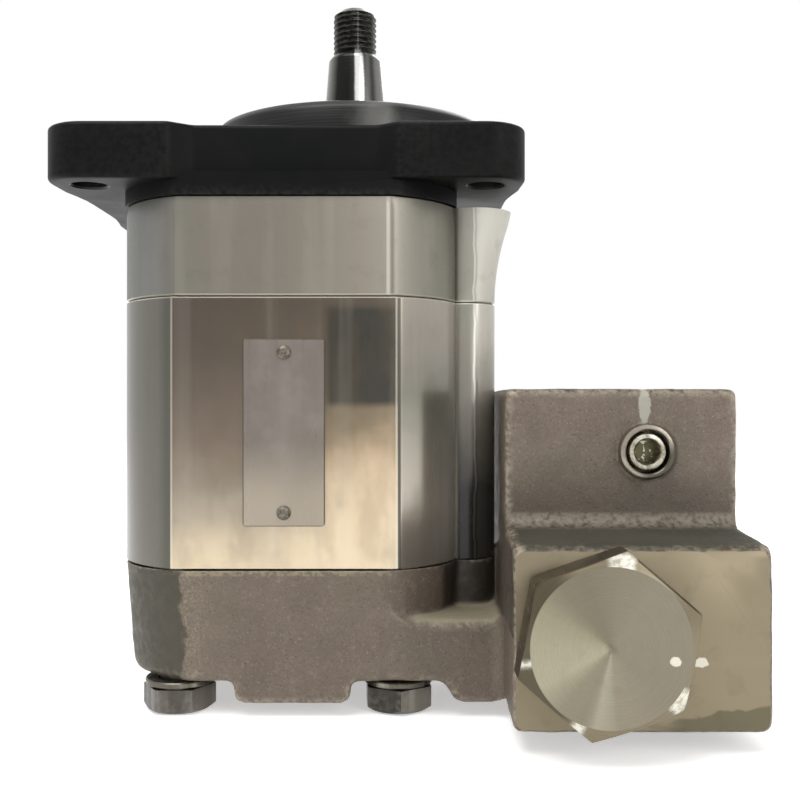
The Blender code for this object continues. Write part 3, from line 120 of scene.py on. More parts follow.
def section_outline(inset, flat_x, crown=CORNER_CROWN, steps=12):
    """The pump's section seen from above: four flats and four crowned corners."""
    half_x, half_y = SECTION_LENGTH / 2 - inset, SECTION_WIDTH / 2 - inset
    low, high = (half_x, (CORNER_FLAT_Y - inset) / 2), ((flat_x - inset) / 2, half_y)
    return four_fold(crowned(low, high, crown, steps), PUMP_MIDDLE_X)


def walled(rings, closed):
    """Walls through rings of points in space, all with the same count, and ends or a last wall."""
    bm = bmesh.new()
    loops = [[bm.verts.new(point) for point in ring] for ring in rings]
    for first, second in zip(loops, loops[1:] + (loops[:1] if closed else [])):
        for i, corner in enumerate(first):
            j = (i + 1) % len(first)
            bm.faces.new((corner, first[j], second[j], second[i]))
    if not closed:
        bm.faces.new(loops[0])
        bm.faces.new(loops[-1])
    return bm


def skinned(rings):
    return walled(rings, False)


def upright(levels):
    """A closed shape through outlines seen from above, given as (height, points)."""
    return skinned([[(x, y, z) for x, y in points] for z, points in levels])


def turned(profile, segments):
    """A shape turned about its own Z from (radius, height) points, closed at the axis or in a ring."""
    bm = bmesh.new()
    closed = profile if profile[0][0] == 0 and profile[-1][0] == 0 else profile + profile[:1]
    rings = []
    for radius, height in closed:
        count = segments if radius > 1e-9 else 1
        turn = [2 * math.pi * i / segments for i in range(count)]
        rings.append([bm.verts.new((radius * math.cos(a), radius * math.sin(a), height)) for a in turn])
    for first, second in zip(rings, rings[1:]):
        for i in range(segments):
            j = (i + 1) % segments
            corners = [first[i % len(first)], first[j % len(first)], second[j % len(second)],
                       second[i % len(second)]]
            corners = list(dict.fromkeys(corners))
            if len(corners) > 2:
                bm.faces.new(corners)
    bmesh.ops.remove_doubles(bm, verts=bm.verts, dist=1e-7)
    return bm


def solid(profile, around):
    """A turned shape whose two ends are flat, so the profile needs no points on the axis."""
    return turned([(0.0, profile[0][1])] + profile + [(0.0, profile[-1][1])], around)


def rod(radius, low, high, around):
    return solid([(radius, low), (radius, high)], around)


def shape(name, bm, *materials, where=None):
    """Ends a mesh: moves it to its place, turns its faces outward and gives it its materials."""
    if where is not None:
        bmesh.ops.transform(bm, matrix=where, verts=bm.verts)
    bmesh.ops.recalc_face_normals(bm, faces=bm.faces)
    mesh = bpy.data.meshes.new(name)
    bm.to_mesh(mesh)
    bm.free()
    for material in materials:
        mesh.materials.append(material)
    item = bpy.data.objects.new(name, mesh)
    bpy.context.scene.collection.objects.link(item)
    return item


def settled(item):
    """Turns what an object's modifiers make into its own plain mesh, and removes them."""
    graph = bpy.context.evaluated_depsgraph_get()
    mesh = bpy.data.meshes.new_from_object(item.evaluated_get(graph), depsgraph=graph)
    item.modifiers.clear()
    item.data = mesh
    return item


def combined(item, tool, operation="DIFFERENCE", solver="MANIFOLD"):
    """Cuts a tool out of a piece, or joins it on. The cut takes the tool's material."""
    modifier = item.modifiers.new("cut", "BOOLEAN")
    modifier.operation, modifier.solver, modifier.object = operation, solver, tool
    modifier.material_mode = "TRANSFER"
    settled(item)
    bpy.data.objects.remove(tool, do_unlink=True)
    return item


def facing(direction, x, y, z):
    """The place of a turned piece whose own +Z points along the given direction."""
    turn = Vector((0, 0, 1)).rotation_difference(Vector(direction)).to_matrix().to_4x4()
    return Matrix.Translation((x, y, z)) @ turn


def assembled(item, body, slot, *nodes, crease=32.0):
    """Sets a finished piece on the pump. It rides on a body, if one is given, and stands for the nodes."""
    item.data.transform(Matrix.Translation(SHAFT_AXIS))
    item.data.shade_smooth()
    item.data.set_sharp_from_angle(angle=math.radians(crease))
    if body:
        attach(item, body)
    if nodes:
        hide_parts(*nodes)
    return item


def tone(red, green, blue):
    """A colour as the eye reads it, 0 to 255, in the linear values that a shader takes."""
    shares = (red / 255, green / 255, blue / 255)
    return tuple(c / 12.92 if c < 0.04 else ((c + 0.055) / 1.055) ** 2.4 for c in shares) + (1.0,)


def node(tree, kind, fields, **settings):
    """Adds a shader node. A field is a value for a socket, or the socket that feeds it."""
    made = tree.nodes.new(kind)
    for name, value in settings.items():
        setattr(made, name, value)
    for key, value in fields.items():
        if isinstance(value, bpy.types.NodeSocket):
            tree.links.new(value, made.inputs[key])
        else:
            made.inputs[key].default_value = value
    return made


def tree_of(values):
    """The node tree that the first socket among some values belongs to."""
    return next(value.id_data for value in values if isinstance(value, bpy.types.NodeSocket))


def calc(operation, *values):
    return node(tree_of(values), "ShaderNodeMath", dict(enumerate(values)), operation=operation).outputs[0]


def chained(operation, values):
    result = values[0]
    for value in values[1:]:
        result = calc(operation, result, value)
    return result


def times(*values):
    return chained("MULTIPLY", values)


def plus(*values):
    return chained("ADD", values)


def largest(*values):
    return chained("MAXIMUM", values)


def minus(value, less):
    return calc("SUBTRACT", value, less)


def distance(across, up):
    return calc("SQRT", plus(times(across, across), times(up, up)))


def wavering(value, waves, reach):
    """A value that a noise pushes up or down by half of the reach."""
    return calc("MULTIPLY_ADD", waves, reach, minus(value, reach / 2))


def as_colour(value):
    """Three numbers from 0 to 255 as a shader's colour. A socket is one already."""
    return tone(*value) if isinstance(value, tuple) else value


def over(colour, paint, *shares):
    """A colour with a paint over it, which covers it by the product of the shares."""
    share = times(*shares)
    fields = {0: share, 6: as_colour(colour), 7: as_colour(paint)}
    return node(share.id_data, "ShaderNodeMix", fields, data_type="RGBA").outputs[2]


def rising(value, low, high, start=0.0, end=1.0):
    """Smoothly from start to end while the value goes from low to high."""
    fields = {0: value, 1: low, 2: high, 3: start, 4: end}
    return node(value.id_data, "ShaderNodeMapRange", fields, interpolation_type="SMOOTHSTEP").outputs[0]


def sheen(waves, low, high):
    """A roughness that follows a noise."""
    return rising(waves, 0.3, 0.7, low, high)


def clouds(place, scale, detail=4.0, roughness=0.55):
    fields = {"Vector": place, "Scale": scale, "Detail": detail, "Roughness": roughness}
    return node(place.id_data, "ShaderNodeTexNoise", fields).outputs[0]


def dots(place, scale):
    """The distance to the nearest of many scattered points."""
    fields = {"Vector": place, "Scale": scale, "Randomness": 1.0}
    return node(place.id_data, "ShaderNodeTexVoronoi", fields).outputs["Distance"]


def drawn_out(place, factors):
    fields = {0: place, 1: factors}
    return node(place.id_data, "ShaderNodeVectorMath", fields, operation="MULTIPLY").outputs[0]


def vector(x=0.0, y=0.0, z=0.0):
    return node(tree_of((x, y, z)), "ShaderNodeCombineXYZ", {0: x, 1: y, 2: z}).outputs[0]


def rings_along(value, scale, detail):
    """A noise that changes along one value only."""
    fields = {"W": value, "Scale": scale, "Detail": detail}
    return node(value.id_data, "ShaderNodeTexNoise", fields, noise_dimensions="1D").outputs[0]


def on_pump(tree, stretch=(1.0, 1.0, 1.0)):
    """Object coordinates measured from the shaft's foot, stretched along each axis."""
    source = tree.nodes.new("ShaderNodeTexCoord").outputs["Object"]
    offset = [-a * b for a, b in zip(SHAFT_AXIS, stretch)]
    return node(tree, "ShaderNodeMapping", {0: source, 1: offset, 3: stretch}).outputs[0]


def split(place):
    return node(place.id_data, "ShaderNodeSeparateXYZ", {0: place}).outputs


def outward_normal(tree):
    return tree.nodes.new("ShaderNodeNewGeometry").outputs["Normal"]


def shader_group(name, inputs, outputs):
    """An effect that several finishes share: its tree, what goes in and what comes out."""
    tree = bpy.data.node_groups.new(name, "ShaderNodeTree")
    for socket, kind, value in inputs:
        made = tree.interface.new_socket(socket, in_out="INPUT", socket_type="NodeSocket" + kind)
        made.default_value = value
    for socket, kind in outputs:
        tree.interface.new_socket(socket, in_out="OUTPUT", socket_type="NodeSocket" + kind)
    return tree, tree.nodes.new("NodeGroupInput").outputs, tree.nodes.new("NodeGroupOutput").inputs


def use(tree, group, fields):
    return node(tree, "ShaderNodeGroup", fields, node_tree=group).outputs


def given(tree, sockets, **values):
    for name, value in values.items():
        tree.links.new(value, sockets[name])


def coat(colour, roughness, height, **more):
    """What varies over a finish."""
    return {"Base Color": colour, "Roughness": roughness, "Height": height, **more}


def finish(name, build, metallic=0.0, bump=0.0, depth=0.0001, **settings):
    """A surface finish. build(tree) gives what varies over it, as coat does."""
    material = bpy.data.materials.new(name)
    material.use_nodes = True
    tree = material.node_tree
    shader = tree.nodes["Principled BSDF"]
    shader.inputs["Metallic"].default_value = metallic
    for key, value in settings.items():
        shader.inputs[key.replace("_", " ")].default_value = value
    for key, value in build(tree).items():
        if key == "Height":
            fields = {"Strength": bump, "Distance": depth, "Height": value}
            tree.links.new(node(tree, "ShaderNodeBump", fields).outputs[0], shader.inputs["Normal"])
        else:
            tree.links.new(value, shader.inputs[key])
    return material


cast_skin, given_in, put_out = shader_group(
    "cast_skin",
    [("Colour", "Color", tone(118, 107, 98)), ("Pits", "Color", tone(62, 58, 52)),
     ("Flecks And Glints", "Color", tone(176, 168, 154)), ("Grain", "Float", 1.0), ("Glint Share", "Float", 0.5)],
    [("Colour", "Color"), ("Roughness", "Float"), ("Height", "Float")],
)
fields = {0: on_pump(cast_skin), "Scale": given_in["Grain"]}
spot = node(cast_skin, "ShaderNodeVectorMath", fields, operation="SCALE").outputs[0]
broad = clouds(spot, 70.0, 3.0)
mottle = clouds(spot, 420.0, 5.0, 0.65)
grain = clouds(spot, 1900.0, 3.0, 0.6)
pocks, glint_points = dots(spot, 900.0), dots(spot, 1500.0)
pitted = times(rising(pocks, 0.28, 0.10), rising(mottle, 0.40, 0.55))
painted_glints = times(rising(glint_points, 0.24, 0.10), rising(grain, 0.48, 0.60))
colour = over((0, 0, 0), given_in["Colour"], rising(broad, 0.32, 0.70, 0.80, 1.0))
colour = over(colour, given_in["Pits"], rising(grain, 0.30, 0.72, 0.34, 0.0))
colour = over(colour, given_in["Flecks And Glints"], rising(mottle, 0.50, 0.76, 0.0, 0.20))
colour = over(colour, given_in["Pits"], pitted, 0.45)
# The small bright dots on the grain are painted glints; the pale mottle above is the skin's own tone.
colour = over(colour, given_in["Flecks And Glints"], painted_glints, given_in["Glint Share"])
relief = plus(times(mottle, 0.75), times(grain, 0.5))
relief = minus(relief, times(pitted, 0.5))
given(cast_skin, put_out, Colour=colour, Roughness=sheen(mottle, 0.42, 0.66), Height=relief)

tool_marks, given_in, put_out = shader_group(
    "tool_marks",
    [("Colour", "Color", tone(165, 155, 130)), ("Along", "Vector", (60.0, 1600.0, 1600.0)),
     ("Contrast", "Float", 0.2), ("Soil", "Color", tone(96, 90, 74)), ("Soil Share", "Float", 0.3)],
    [("Colour", "Color"), ("Roughness", "Float"), ("Height", "Float")],
)
lines = drawn_out(on_pump(tool_marks), given_in["Along"])
fine = clouds(lines, 1.0, 3.0, 0.7)
wide = clouds(lines, 0.22, 2.0, 0.5)
stains = clouds(on_pump(tool_marks), 160.0, 5.0, 0.6)
dark = times(rising(fine, 0.72, 0.20), given_in["Contrast"])
pale = times(rising(wide, 0.50, 0.72), given_in["Contrast"])
colour = over(given_in["Colour"], given_in["Soil"], dark)
colour = over(colour, (232, 228, 216), pale)
soiled = times(rising(stains, 0.52, 0.70), given_in["Soil Share"])
colour = over(colour, given_in["Soil"], soiled)
given(tool_marks, put_out, Colour=colour, Roughness=rising(fine, 0.2, 0.8, 0.24, 0.40), Height=fine)

worn_and_glinting_edges, given_in, put_out = shader_group(
    "worn_and_glinting_edges",
    [("Colour", "Color", tone(118, 107, 98)), ("Bare", "Color", tone(170, 160, 144)),
     ("Edge Share", "Float", 0.6), ("Sharp", "Float", 0.56)],
    [("Colour", "Color")],
)
# Sharp edges turn to the edge colour: worn paint on the flange, painted glints on the casting and bolt
# heads.
edge = worn_and_glinting_edges.nodes.new("ShaderNodeNewGeometry").outputs["Pointiness"]
patchy = clouds(on_pump(worn_and_glinting_edges), 650.0, 4.0, 0.6)
edge_tone = over(given_in["Colour"], given_in["Bare"], rising(edge, 0.505, given_in["Sharp"]),
            rising(patchy, 0.35, 0.62), given_in["Edge Share"])
given(worn_and_glinting_edges, put_out, Colour=edge_tone)


def marked(tree, colour, along, contrast, soil, soil_share):
    """Metal with tool marks drawn out along it, soiled in patches."""
    fields = {"Colour": as_colour(colour), "Along": along, "Contrast": contrast,
              "Soil": as_colour(soil), "Soil Share": soil_share}
    return use(tree, tool_marks, fields)


def edge_wear_and_glint(colour, edge_tone, edge_share, sharp):
    """A colour that turns to another along the sharp edges: worn paint on the flange, painted glints on the
    casting and the bolt heads.
    """
    fields = {"Colour": colour, "Bare": as_colour(edge_tone), "Edge Share": edge_share, "Sharp": sharp}
    return use(colour.id_data, worn_and_glinting_edges, fields)["Colour"]


def tooled(name, colour, along, contrast, soil, soil_share, **shader):
    """The finish of a metal that carries nothing but tool marks."""
    def build(tree):
        marks = marked(tree, colour, along, contrast, soil, soil_share)
        return coat(marks["Colour"], marks["Roughness"], marks["Height"])
    return finish(name, build, **shader)


def band(value, low, high, soft):
    """1 while the value is between low and high, with soft edges."""
    up = rising(value, low - soft / 2, low + soft / 2)
    return times(up, rising(value, high - soft / 2, high + soft / 2, 1.0, 0.0))


def dab(place, x, z, across, upright_reach):
    """A dab of marking paint seen from the front, with a ragged edge."""
    sides = split(place)
    off_x = calc("DIVIDE", minus(sides[0], x), across)
    off_z = calc("DIVIDE", minus(sides[2], z), upright_reach)
    reach = distance(off_x, off_z)
    ragged = plus(reach, times(clouds(place, 900.0), 0.8))
    return rising(ragged, 1.35, 1.15)


MARKING_PAINT = (205, 200, 184)


def iron_skin(tree):
    place = on_pump(tree)
    x, y, z = split(place)
    up = rising(split(outward_normal(tree))[2], 0.45, 0.9)
    skin = use(tree, cast_skin, {"Colour": tone(120, 106, 94), "Glint Share": 0.6})
    # Faces that look up are painted a dark olive shade.
    colour = over(skin["Colour"], (44, 46, 37), up, 0.90)
    stained = rising(clouds(place, 48.0, 4.0), 0.46, 0.64, 0.0, 0.24)
    colour = over(colour, (100, 95, 74), stained)
    front = rising(y, -0.0400, -0.0425)
    lip = times(band(z, 0.0352, 0.0372, 0.0005), rising(clouds(place, 800.0), 0.40, 0.60))
    lip = times(lip, front, rising(x, 0.014, 0.010))
    colour = over(colour, (158, 148, 118), lip, 0.5)
    # The left corner is painted darker, as shade.
    left = plus(x, times(clouds(place, 240.0), 0.006))
    faded = rising(calc("MULTIPLY_ADD", clouds(place, 60.0), 0.050, y), 0.045, -0.005)
    corner = times(rising(left, -0.0370, -0.0382), faded)
    colour = over(colour, (54, 53, 41), corner, 0.80)
    border = times(rising(left, -0.0376, -0.0368), rising(left, -0.0290, -0.0372))
    border = times(border, rising(clouds(place, 1700.0), 0.42, 0.66))
    border = times(border, rising(y, -0.030, -0.036))
    colour = over(colour, (158, 150, 128), border, 0.42)
    # The neck's top face is painted lighter, as if lit.
    painted_neck_top_light = times(rising(z, 0.030, 0.026), band(x, 0.012, 0.0385, 0.004), up)
    colour = over(colour, (158, 149, 126), painted_neck_top_light, 0.9)
    shade = times(band(x, 0.024, 0.0385, 0.002), band(z, 0.0255, 0.05, 0.001))
    colour = over(colour, (30, 30, 27), shade, 0.8)
    right = rising(x, 0.038, 0.040)
    foot = times(rising(z, 0.068, 0.052), rising(y, -0.040, -0.0432), right)
    colour = over(colour, (66, 61, 50), foot, 0.55)
    # A painted highlight along the fillet over the ledge.
    fillet = times(band(z, 0.0475, 0.0508, 0.001), band(y, -0.049, -0.0437, 0.001))
    painted_fillet_highlight = times(fillet, right, rising(clouds(place, 700.0), 0.3, 0.6))
    colour = over(colour, (142, 132, 117), painted_fillet_highlight, 0.6)
    # The sharp edges are painted paler, as glints.
    colour = edge_wear_and_glint(colour, (168, 158, 138), 0.75, 0.535)
    # A painted shadow on the casting to the right of the relief collar.
    off_x, off_z = minus(x, RELIEF_X + 0.0009), minus(z, RELIEF_Z - 0.0003)
    reach = distance(off_x, off_z)
    painted_collar_shadow = times(rising(reach, 0.0076, 0.0066), rising(y, -0.040, -0.043))
    colour = over(colour, (34, 30, 25), painted_collar_shadow, 0.75)
    tongue = dab(place, 0.0728, 0.0770, 0.0017, 0.0050)
    colour = over(colour, (176, 174, 160), tongue, rising(y, -0.040, -0.043), 0.72)
    matt = plus(skin["Roughness"], times(up, 0.25))
    return coat(colour, matt, skin["Height"])


def iron_cut(tree):
    place = on_pump(tree)
    x, y, z = split(place)
    marks = marked(tree, (132, 121, 98), (30.0, 700.0, 700.0), 0.03, (104, 94, 72), 0.30)
    edge = calc("MULTIPLY_ADD", clouds(place, 150.0), -0.004, calc("MULTIPLY_ADD", x, -0.15, z))
    low_right = times(rising(edge, -0.0051, -0.0057), rising(x, 0.070, 0.076))
    front = rising(y, -0.0680, -0.0690)
    colour = over(marks["Colour"], (84, 80, 60), low_right, front, 0.75)
    # Machined surfaces behind the block's front, such as the bores, are painted darker, as shade.
    inside = rising(y, -0.0690, -0.0660)
    colour = over(colour, (88, 84, 74), inside, 0.45)
    dot = dab(place, 0.0795, 0.0203, 0.0018, 0.0013)
    colour = over(colour, MARKING_PAINT, dot, front)
    return coat(colour, rising(marks["Height"], 0.2, 0.8, 0.34, 0.40), marks["Height"])


cast_iron = finish("cast_iron_skin", iron_skin, metallic=0.25, bump=0.55, depth=0.00028)
machined_iron = finish("machined_iron", iron_cut, metallic=0.55, bump=0.12, depth=0.00004)


def cover_shape():
    levels = []
    for step in range(7):
        angle = math.pi / 2 * step / 6
        inset = COVER_DRAFT + 0.003 * (1 - math.sin(angle))
        levels.append((COVER_LOW + 0.004 * (1 - math.cos(angle)), section_outline(inset, 0.048, 0.024, 8)))
    levels.append((COVER_TOP, section_outline(0.0, 0.048, 0.024, 8)))
    levels.append((COVER_TOP + 0.003, section_outline(0.0, 0.048, 0.024, 8)))
    return upright(levels)


def neck_ring(x, low, top, inset):
    """An upright section across the neck. Its front follows the cover's draft."""
    r, slope = 0.0025, COVER_DRAFT / (COVER_TOP - COVER_LOW)
    front_top = FRONT_Y + inset + slope * (COVER_TOP - top)
    front_low = FRONT_Y + inset + slope * (COVER_TOP - low)
    points = arc((-0.003 - r, low + r), r, -math.pi / 2, 0, 4)
    points += arc((-0.003 - r, top - r), r, 0, math.pi / 2, 4)
    points += arc((front_top + r, top - r), r, math.pi / 2, math.pi, 4)
    points += arc((front_low + r, low + r), r, math.pi, 1.5 * math.pi, 4)
    return [(x, y, z) for y, z in points]


def neck_shape():
    low, flush, top = COVER_LOW - 0.0052, COVER_LOW + 0.0003, 0.0244
    bend = PUMP_MIDDLE_X + BOLT_SPACING_X / 2 + 0.0086
    return skinned([neck_ring(*section) for section in (
        (SIDE_X - 0.0208, flush + 0.0020, top + 0.0091, 0.0016),
        (SIDE_X - 0.0178, flush, top + 0.0066, 0.0004),
        (SIDE_X - 0.0153, flush, top + 0.0024, 0.0001),
        (SIDE_X - 0.0120, flush, top + 0.0004, 0.0001),
        (bend + 0.0012, flush, top, 0.0001),
        (bend + 0.0030, flush - 0.0005, top, 0.0001),
        (bend + 0.0043, (flush + low) / 2, top, 0.0001),
        (bend + 0.0053, low + 0.0009, top, 0.0001),
        (bend + 0.0072, low, top, 0.0001),
        (BLOCK_LEFT - 0.0018, low, top, 0.0001),
        (BLOCK_LEFT, low + 0.0008, top + 0.0008, -0.0012),
        (BLOCK_LEFT + 0.003, low + 0.0030, top + 0.0036, -0.0042),
    )])


def foot_shape():
    """The boss between the bolt heads, with its ends swept up into the cover."""
    half, r, low = 0.0136, 0.0026, COVER_LOW - 0.0052
    side = arc((half - r * 0.7, low + r), r, -math.pi / 2, -math.pi / 8, 4)
    side += [(half + 0.0009, COVER_LOW - 0.0003), (half + 0.0022, COVER_LOW + 0.0009),
             (half + 0.0022, COVER_LOW + 0.004)]
    outline = side + [(-x, z) for x, z in reversed(side)]
    reach = -FRONT_Y - COVER_DRAFT - 0.0005
    rows = ((-reach, 0.0010), (0.001 - reach, 0.0), (reach - 0.001, 0.0), (reach, 0.0010))
    return skinned([[(x - 0.0138, y, max(z, low + inset)) for x, z in outline] for y, inset in rows])


def rounding(depth, radius):
    """How far a rounded edge falls back at a depth from the side it turns into."""
    return radius - math.sqrt(max(radius**2 - max(radius - depth, 0.0) ** 2, 0.0))


def block_ring(x_of, depth, front_radius):
    """The block's side view at a depth from one end, tall at the back, with a ledge over the plug."""
    inset = rounding(depth, 0.0016)
    front = LOWER_FRONT - CAST_SPARE + rounding(depth, front_radius)
    step, back, r = UPPER_FRONT + inset, BLOCK_BACK - inset, 0.0016
    low, ledge, top, wide = BLOCK_LOW + inset, LEDGE_Z - inset, BLOCK_TOP - inset, 0.0030
    points = arc((front + 0.0022, low + 0.0022), 0.0022, 1.5 * math.pi, math.pi, 5)
    points += arc((front + wide, ledge - wide), wide, math.pi, math.pi / 2, 6)
    points += arc((step - 0.003, ledge + 0.0012 + 0.003), 0.003, -math.pi / 2, 0, 5)
    points += arc((step + r, top - r), r, math.pi, math.pi / 2, 4)
    points += arc((back - r, top - r), r, math.pi / 2, 0, 4)
    points += arc((back - r, low + r), r, 0, -math.pi / 2, 4)
    return [(x_of(y), y, z) for y, z in points]


def block_shape():
    slope = math.tan(math.radians(1.5))
    depths = (0.0, 0.0002, 0.0006, 0.0016, 0.0026, 0.0036, 0.0046)
    rings = [block_ring(lambda y, d=d: BLOCK_LEFT + (y - LOWER_FRONT) * slope + d, d, 0.0018)
             for d in depths]
    rings += [block_ring(lambda y, d=d: BLOCK_RIGHT - d, d, 0.0026) for d in reversed(depths[:5])]
    return skinned(rings)


def moved(x, y, z):
    return Matrix.Translation((x, y, z))


casting = shape("rear_cover_and_valve_block", cover_shape(), cast_iron)
rib = rod(RIB_RADIUS, 0.0200, COVER_TOP + 0.003, 48)
lumps = [(neck_shape(), None), (foot_shape(), None), (block_shape(), None), (rib, moved(RIB_X, RIB_Y, 0.0))]
for lump, where in lumps:
    combined(casting, shape("lump", lump, cast_iron, where=where), "UNION", "EXACT")
remesh = casting.modifiers.new("sand_mould", "REMESH")
remesh.mode, remesh.voxel_size = "VOXEL", 0.0008
soften = casting.modifiers.new("draw", "SMOOTH")
soften.factor, soften.iterations = 0.5, 5
settled(casting)
skin_points = [(vertex.co.copy(), vertex.normal.copy()) for vertex in casting.data.vertices]
rises = [noise.noise(at * 170.0) * 0.00016 + noise.noise(at * 520.0) * 0.00007 for at, _ in skin_points]
skin_points = [at + out * rise for (at, out), rise in zip(skin_points, rises)]
for at in skin_points:
    at.x = min(at.x, BLOCK_RIGHT)
casting.data.vertices.foreach_set("co", [value for at in skin_points for value in at])
casting.data.update()


def shape_group(name, inputs):
    """A geometry tree with its inputs, and their sockets."""
    tree = bpy.data.node_groups.new(name, "GeometryNodeTree")
    for socket, kind, value in [("Geometry", "Geometry", None)] + inputs:
        made = tree.interface.new_socket(socket, in_out="INPUT", socket_type="NodeSocket" + kind)
        if value is not None:
            made.default_value = value
    tree.interface.new_socket("Geometry", in_out="OUTPUT", socket_type="NodeSocketGeometry")
    return tree, tree.nodes.new("NodeGroupInput").outputs


def finished_group(tree, whole, size):
    """Ends a geometry tree: its shape becomes a plain mesh with the material that it was given."""
    plain = node(tree, "GeometryNodeRealizeInstances", {"Geometry": whole}).outputs[0]
    fields = {"Geometry": plain, "Material": size["Finish"]}
    coated = node(tree, "GeometryNodeSetMaterial", fields).outputs[0]
    tree.links.new(coated, tree.nodes.new("NodeGroupOutput").inputs[0])
    return tree


def thread_tree():
    """Geometry nodes for a screw thread: a tube whose radius follows one turn of the groove."""
    tree, size = shape_group("screw_thread", [
        ("Radius", "Float", 0.006), ("Depth", "Float", 0.0009), ("Pitch", "Float", 0.0015),
        ("Length", "Float", 0.0127), ("End Chamfer", "Float", 0.002), ("Steps Round", "Int", 48),
        ("Steps Along", "Int", 72), ("Finish", "Material", None),
    ])
    fields = {0: 1.0, 1: 1.0, 2: size["Steps Round"], 3: size["Steps Along"]}
    grid = node(tree, "GeometryNodeMeshGrid", fields).outputs["Mesh"]
    across, along, _ = split(tree.nodes.new("GeometryNodeInputPosition").outputs[0])
    turn = plus(across, 0.5)
    height = times(plus(along, 0.5), size["Length"])
    phase = calc("FRACT", plus(minus(calc("DIVIDE", height, size["Pitch"]), turn), 8.0))
    flank = times(calc("ABSOLUTE", minus(phase, 0.5)), 2.0)
    flank = calc("MINIMUM", largest(times(minus(flank, 0.10), 1.25), 0.0), 1.0)
    root = minus(size["Radius"], size["Depth"])
    radius = plus(root, times(flank, size["Depth"]))
    left = minus(size["Length"], height)
    envelope = plus(minus(size["Radius"], size["End Chamfer"]), times(left, 1.3))
    radius = calc("MINIMUM", radius, envelope)
    angle = times(turn, 2 * math.pi)
    target = vector(times(radius, calc("COSINE", angle)), times(radius, calc("SINE", angle)), height)
    bent = node(tree, "GeometryNodeSetPosition", {"Geometry": grid, "Position": target}).outputs[0]
    whole = node(tree, "GeometryNodeMergeByDistance", {"Geometry": bent, "Distance": 1e-6}).outputs[0]
    return finished_group(tree, whole, size)


screw_thread = thread_tree()


def grown(name, tree, sizes):
    """Runs a geometry tree with its named sizes, and keeps what it makes as a plain mesh."""
    item = bpy.data.objects.new(name, bpy.data.meshes.new(name))
    bpy.context.scene.collection.objects.link(item)
    modifier = item.modifiers.new(name, "NODES")
    modifier.node_group = tree
    sockets = {s.name: s.identifier for s in tree.interface.items_tree if s.in_out == "INPUT"}
    for key, value in sizes.items():
        modifier[sockets[key]] = value
    return settled(item)


def threaded(name, radius, depth, pitch, length, chamfer, material, where=None, around=48):
    """A closed threaded rod from z = 0 up, made by the thread tree and capped at both ends."""
    sizes = {"Radius": radius, "Depth": depth, "Pitch": pitch, "Length": length, "End Chamfer": chamfer,
             "Finish": material, "Steps Round": around + 1, "Steps Along": round(length / pitch * 8) + 1}
    item = grown(name, screw_thread, sizes)
    bm = bmesh.new()
    bm.from_mesh(item.data)
    bmesh.ops.remove_doubles(bm, verts=bm.verts, dist=2e-6)
    rims = [edge for edge in bm.edges if edge.is_boundary]
    bmesh.ops.holes_fill(bm, edges=rims, sides=0)
    if where is not None:
        bmesh.ops.transform(bm, matrix=where, verts=bm.verts)
    bmesh.ops.recalc_face_normals(bm, faces=bm.faces)
    bm.to_mesh(item.data)
    bm.free()
    return item


def box_shape(low, high):
    (x0, y0, z0), (x1, y1, z1) = low, high
    outline = [(x0, y0), (x1, y0), (x1, y1), (x0, y1)]
    return upright([(z0, outline), (z1, outline)])


def drilled(radius, low, high, places, around):
    """Upright round tools at some places seen from above."""
    return [(rod(radius, low, high, around), moved(x, y, 0.0)) for x, y in places]


def bored(item, tools, inside):
    """Cuts tools out of a piece. Each is a shape and its place, or no place."""
    for cutter, where in tools:
        combined(item, shape("cutter", cutter, inside, where=where))


OUT_FRONT, OUT_RIGHT = (0, -1, 0), (1, 0, 0)
plug_bore = [(0.01005, -0.0772), (0.01005, -0.0163), (0.01312, -0.0163), (0.01312, -0.0025),
             (0.0156, -0.0025), (0.0156, 0.004)]
relief_bore = [(0.00462, -0.0540), (0.00462, -0.006), (0.0068, -0.006), (0.0068, 0.003)]
port_bore = [(0.0045, -0.040), (0.0045, -0.016), (0.0085, -0.0155), (0.0085, 0.004)]
port_seat = [(0.0088, -0.0030), (0.0104, -0.0006), (0.0140, -0.0006), (0.0140, 0.004)]
tools = [
    (box_shape((-0.075, -0.060, COVER_TOP), (0.0375, 0.060, COVER_TOP + 0.02)), None),
    (box_shape((0.030, LOWER_FRONT - 0.02, -0.01), (0.11, LOWER_FRONT, LEDGE_Z + 0.02)), None),
    (solid(plug_bore, 72), facing(OUT_FRONT, VALVE_X, LOWER_FRONT, VALVE_Z)),
    (solid(relief_bore, 48), facing(OUT_FRONT, RELIEF_X, UPPER_FRONT, RELIEF_Z)),
    (rod(OIL_HOLE, OIL_Z, COVER_TOP + 0.002, 32), moved(PUMP_MIDDLE_X, OIL_Y, 0.0)),
    (rod(OIL_HOLE, 0.0, 0.070, 32), facing(OUT_RIGHT, PUMP_MIDDLE_X, OIL_Y, OIL_Z)),
]
for y in PORT_PLACES_Y:
    tools.append((solid(port_bore, 64), facing(OUT_RIGHT, BLOCK_RIGHT, y, VALVE_Z)))
    tools.append((solid(port_seat, 64), facing(OUT_RIGHT, BLOCK_RIGHT, y, VALVE_Z)))
for x, y in BOLT_PLACES:
    tools += drilled(BOLT_HOLE, -0.002, COVER_TOP + 0.002, [(x, y)], 40)
    tools += drilled(BOLT_SEAT, -0.001, COVER_LOW + 0.0001, [(x, y)], 48)
tools += drilled(DOWEL_HOLE, COVER_TOP - 0.0064, COVER_TOP + 0.002, DOWEL_PLACES, 24)
bored(casting, tools, machined_iron)
for y in PORT_PLACES_Y:
    tap = threaded("tap", 0.0091, 0.0007, 0.0015, 0.0135, 0.0, machined_iron,
                   facing((-1, 0, 0), BLOCK_RIGHT, y, VALVE_Z), 64)
    combined(casting, tap)
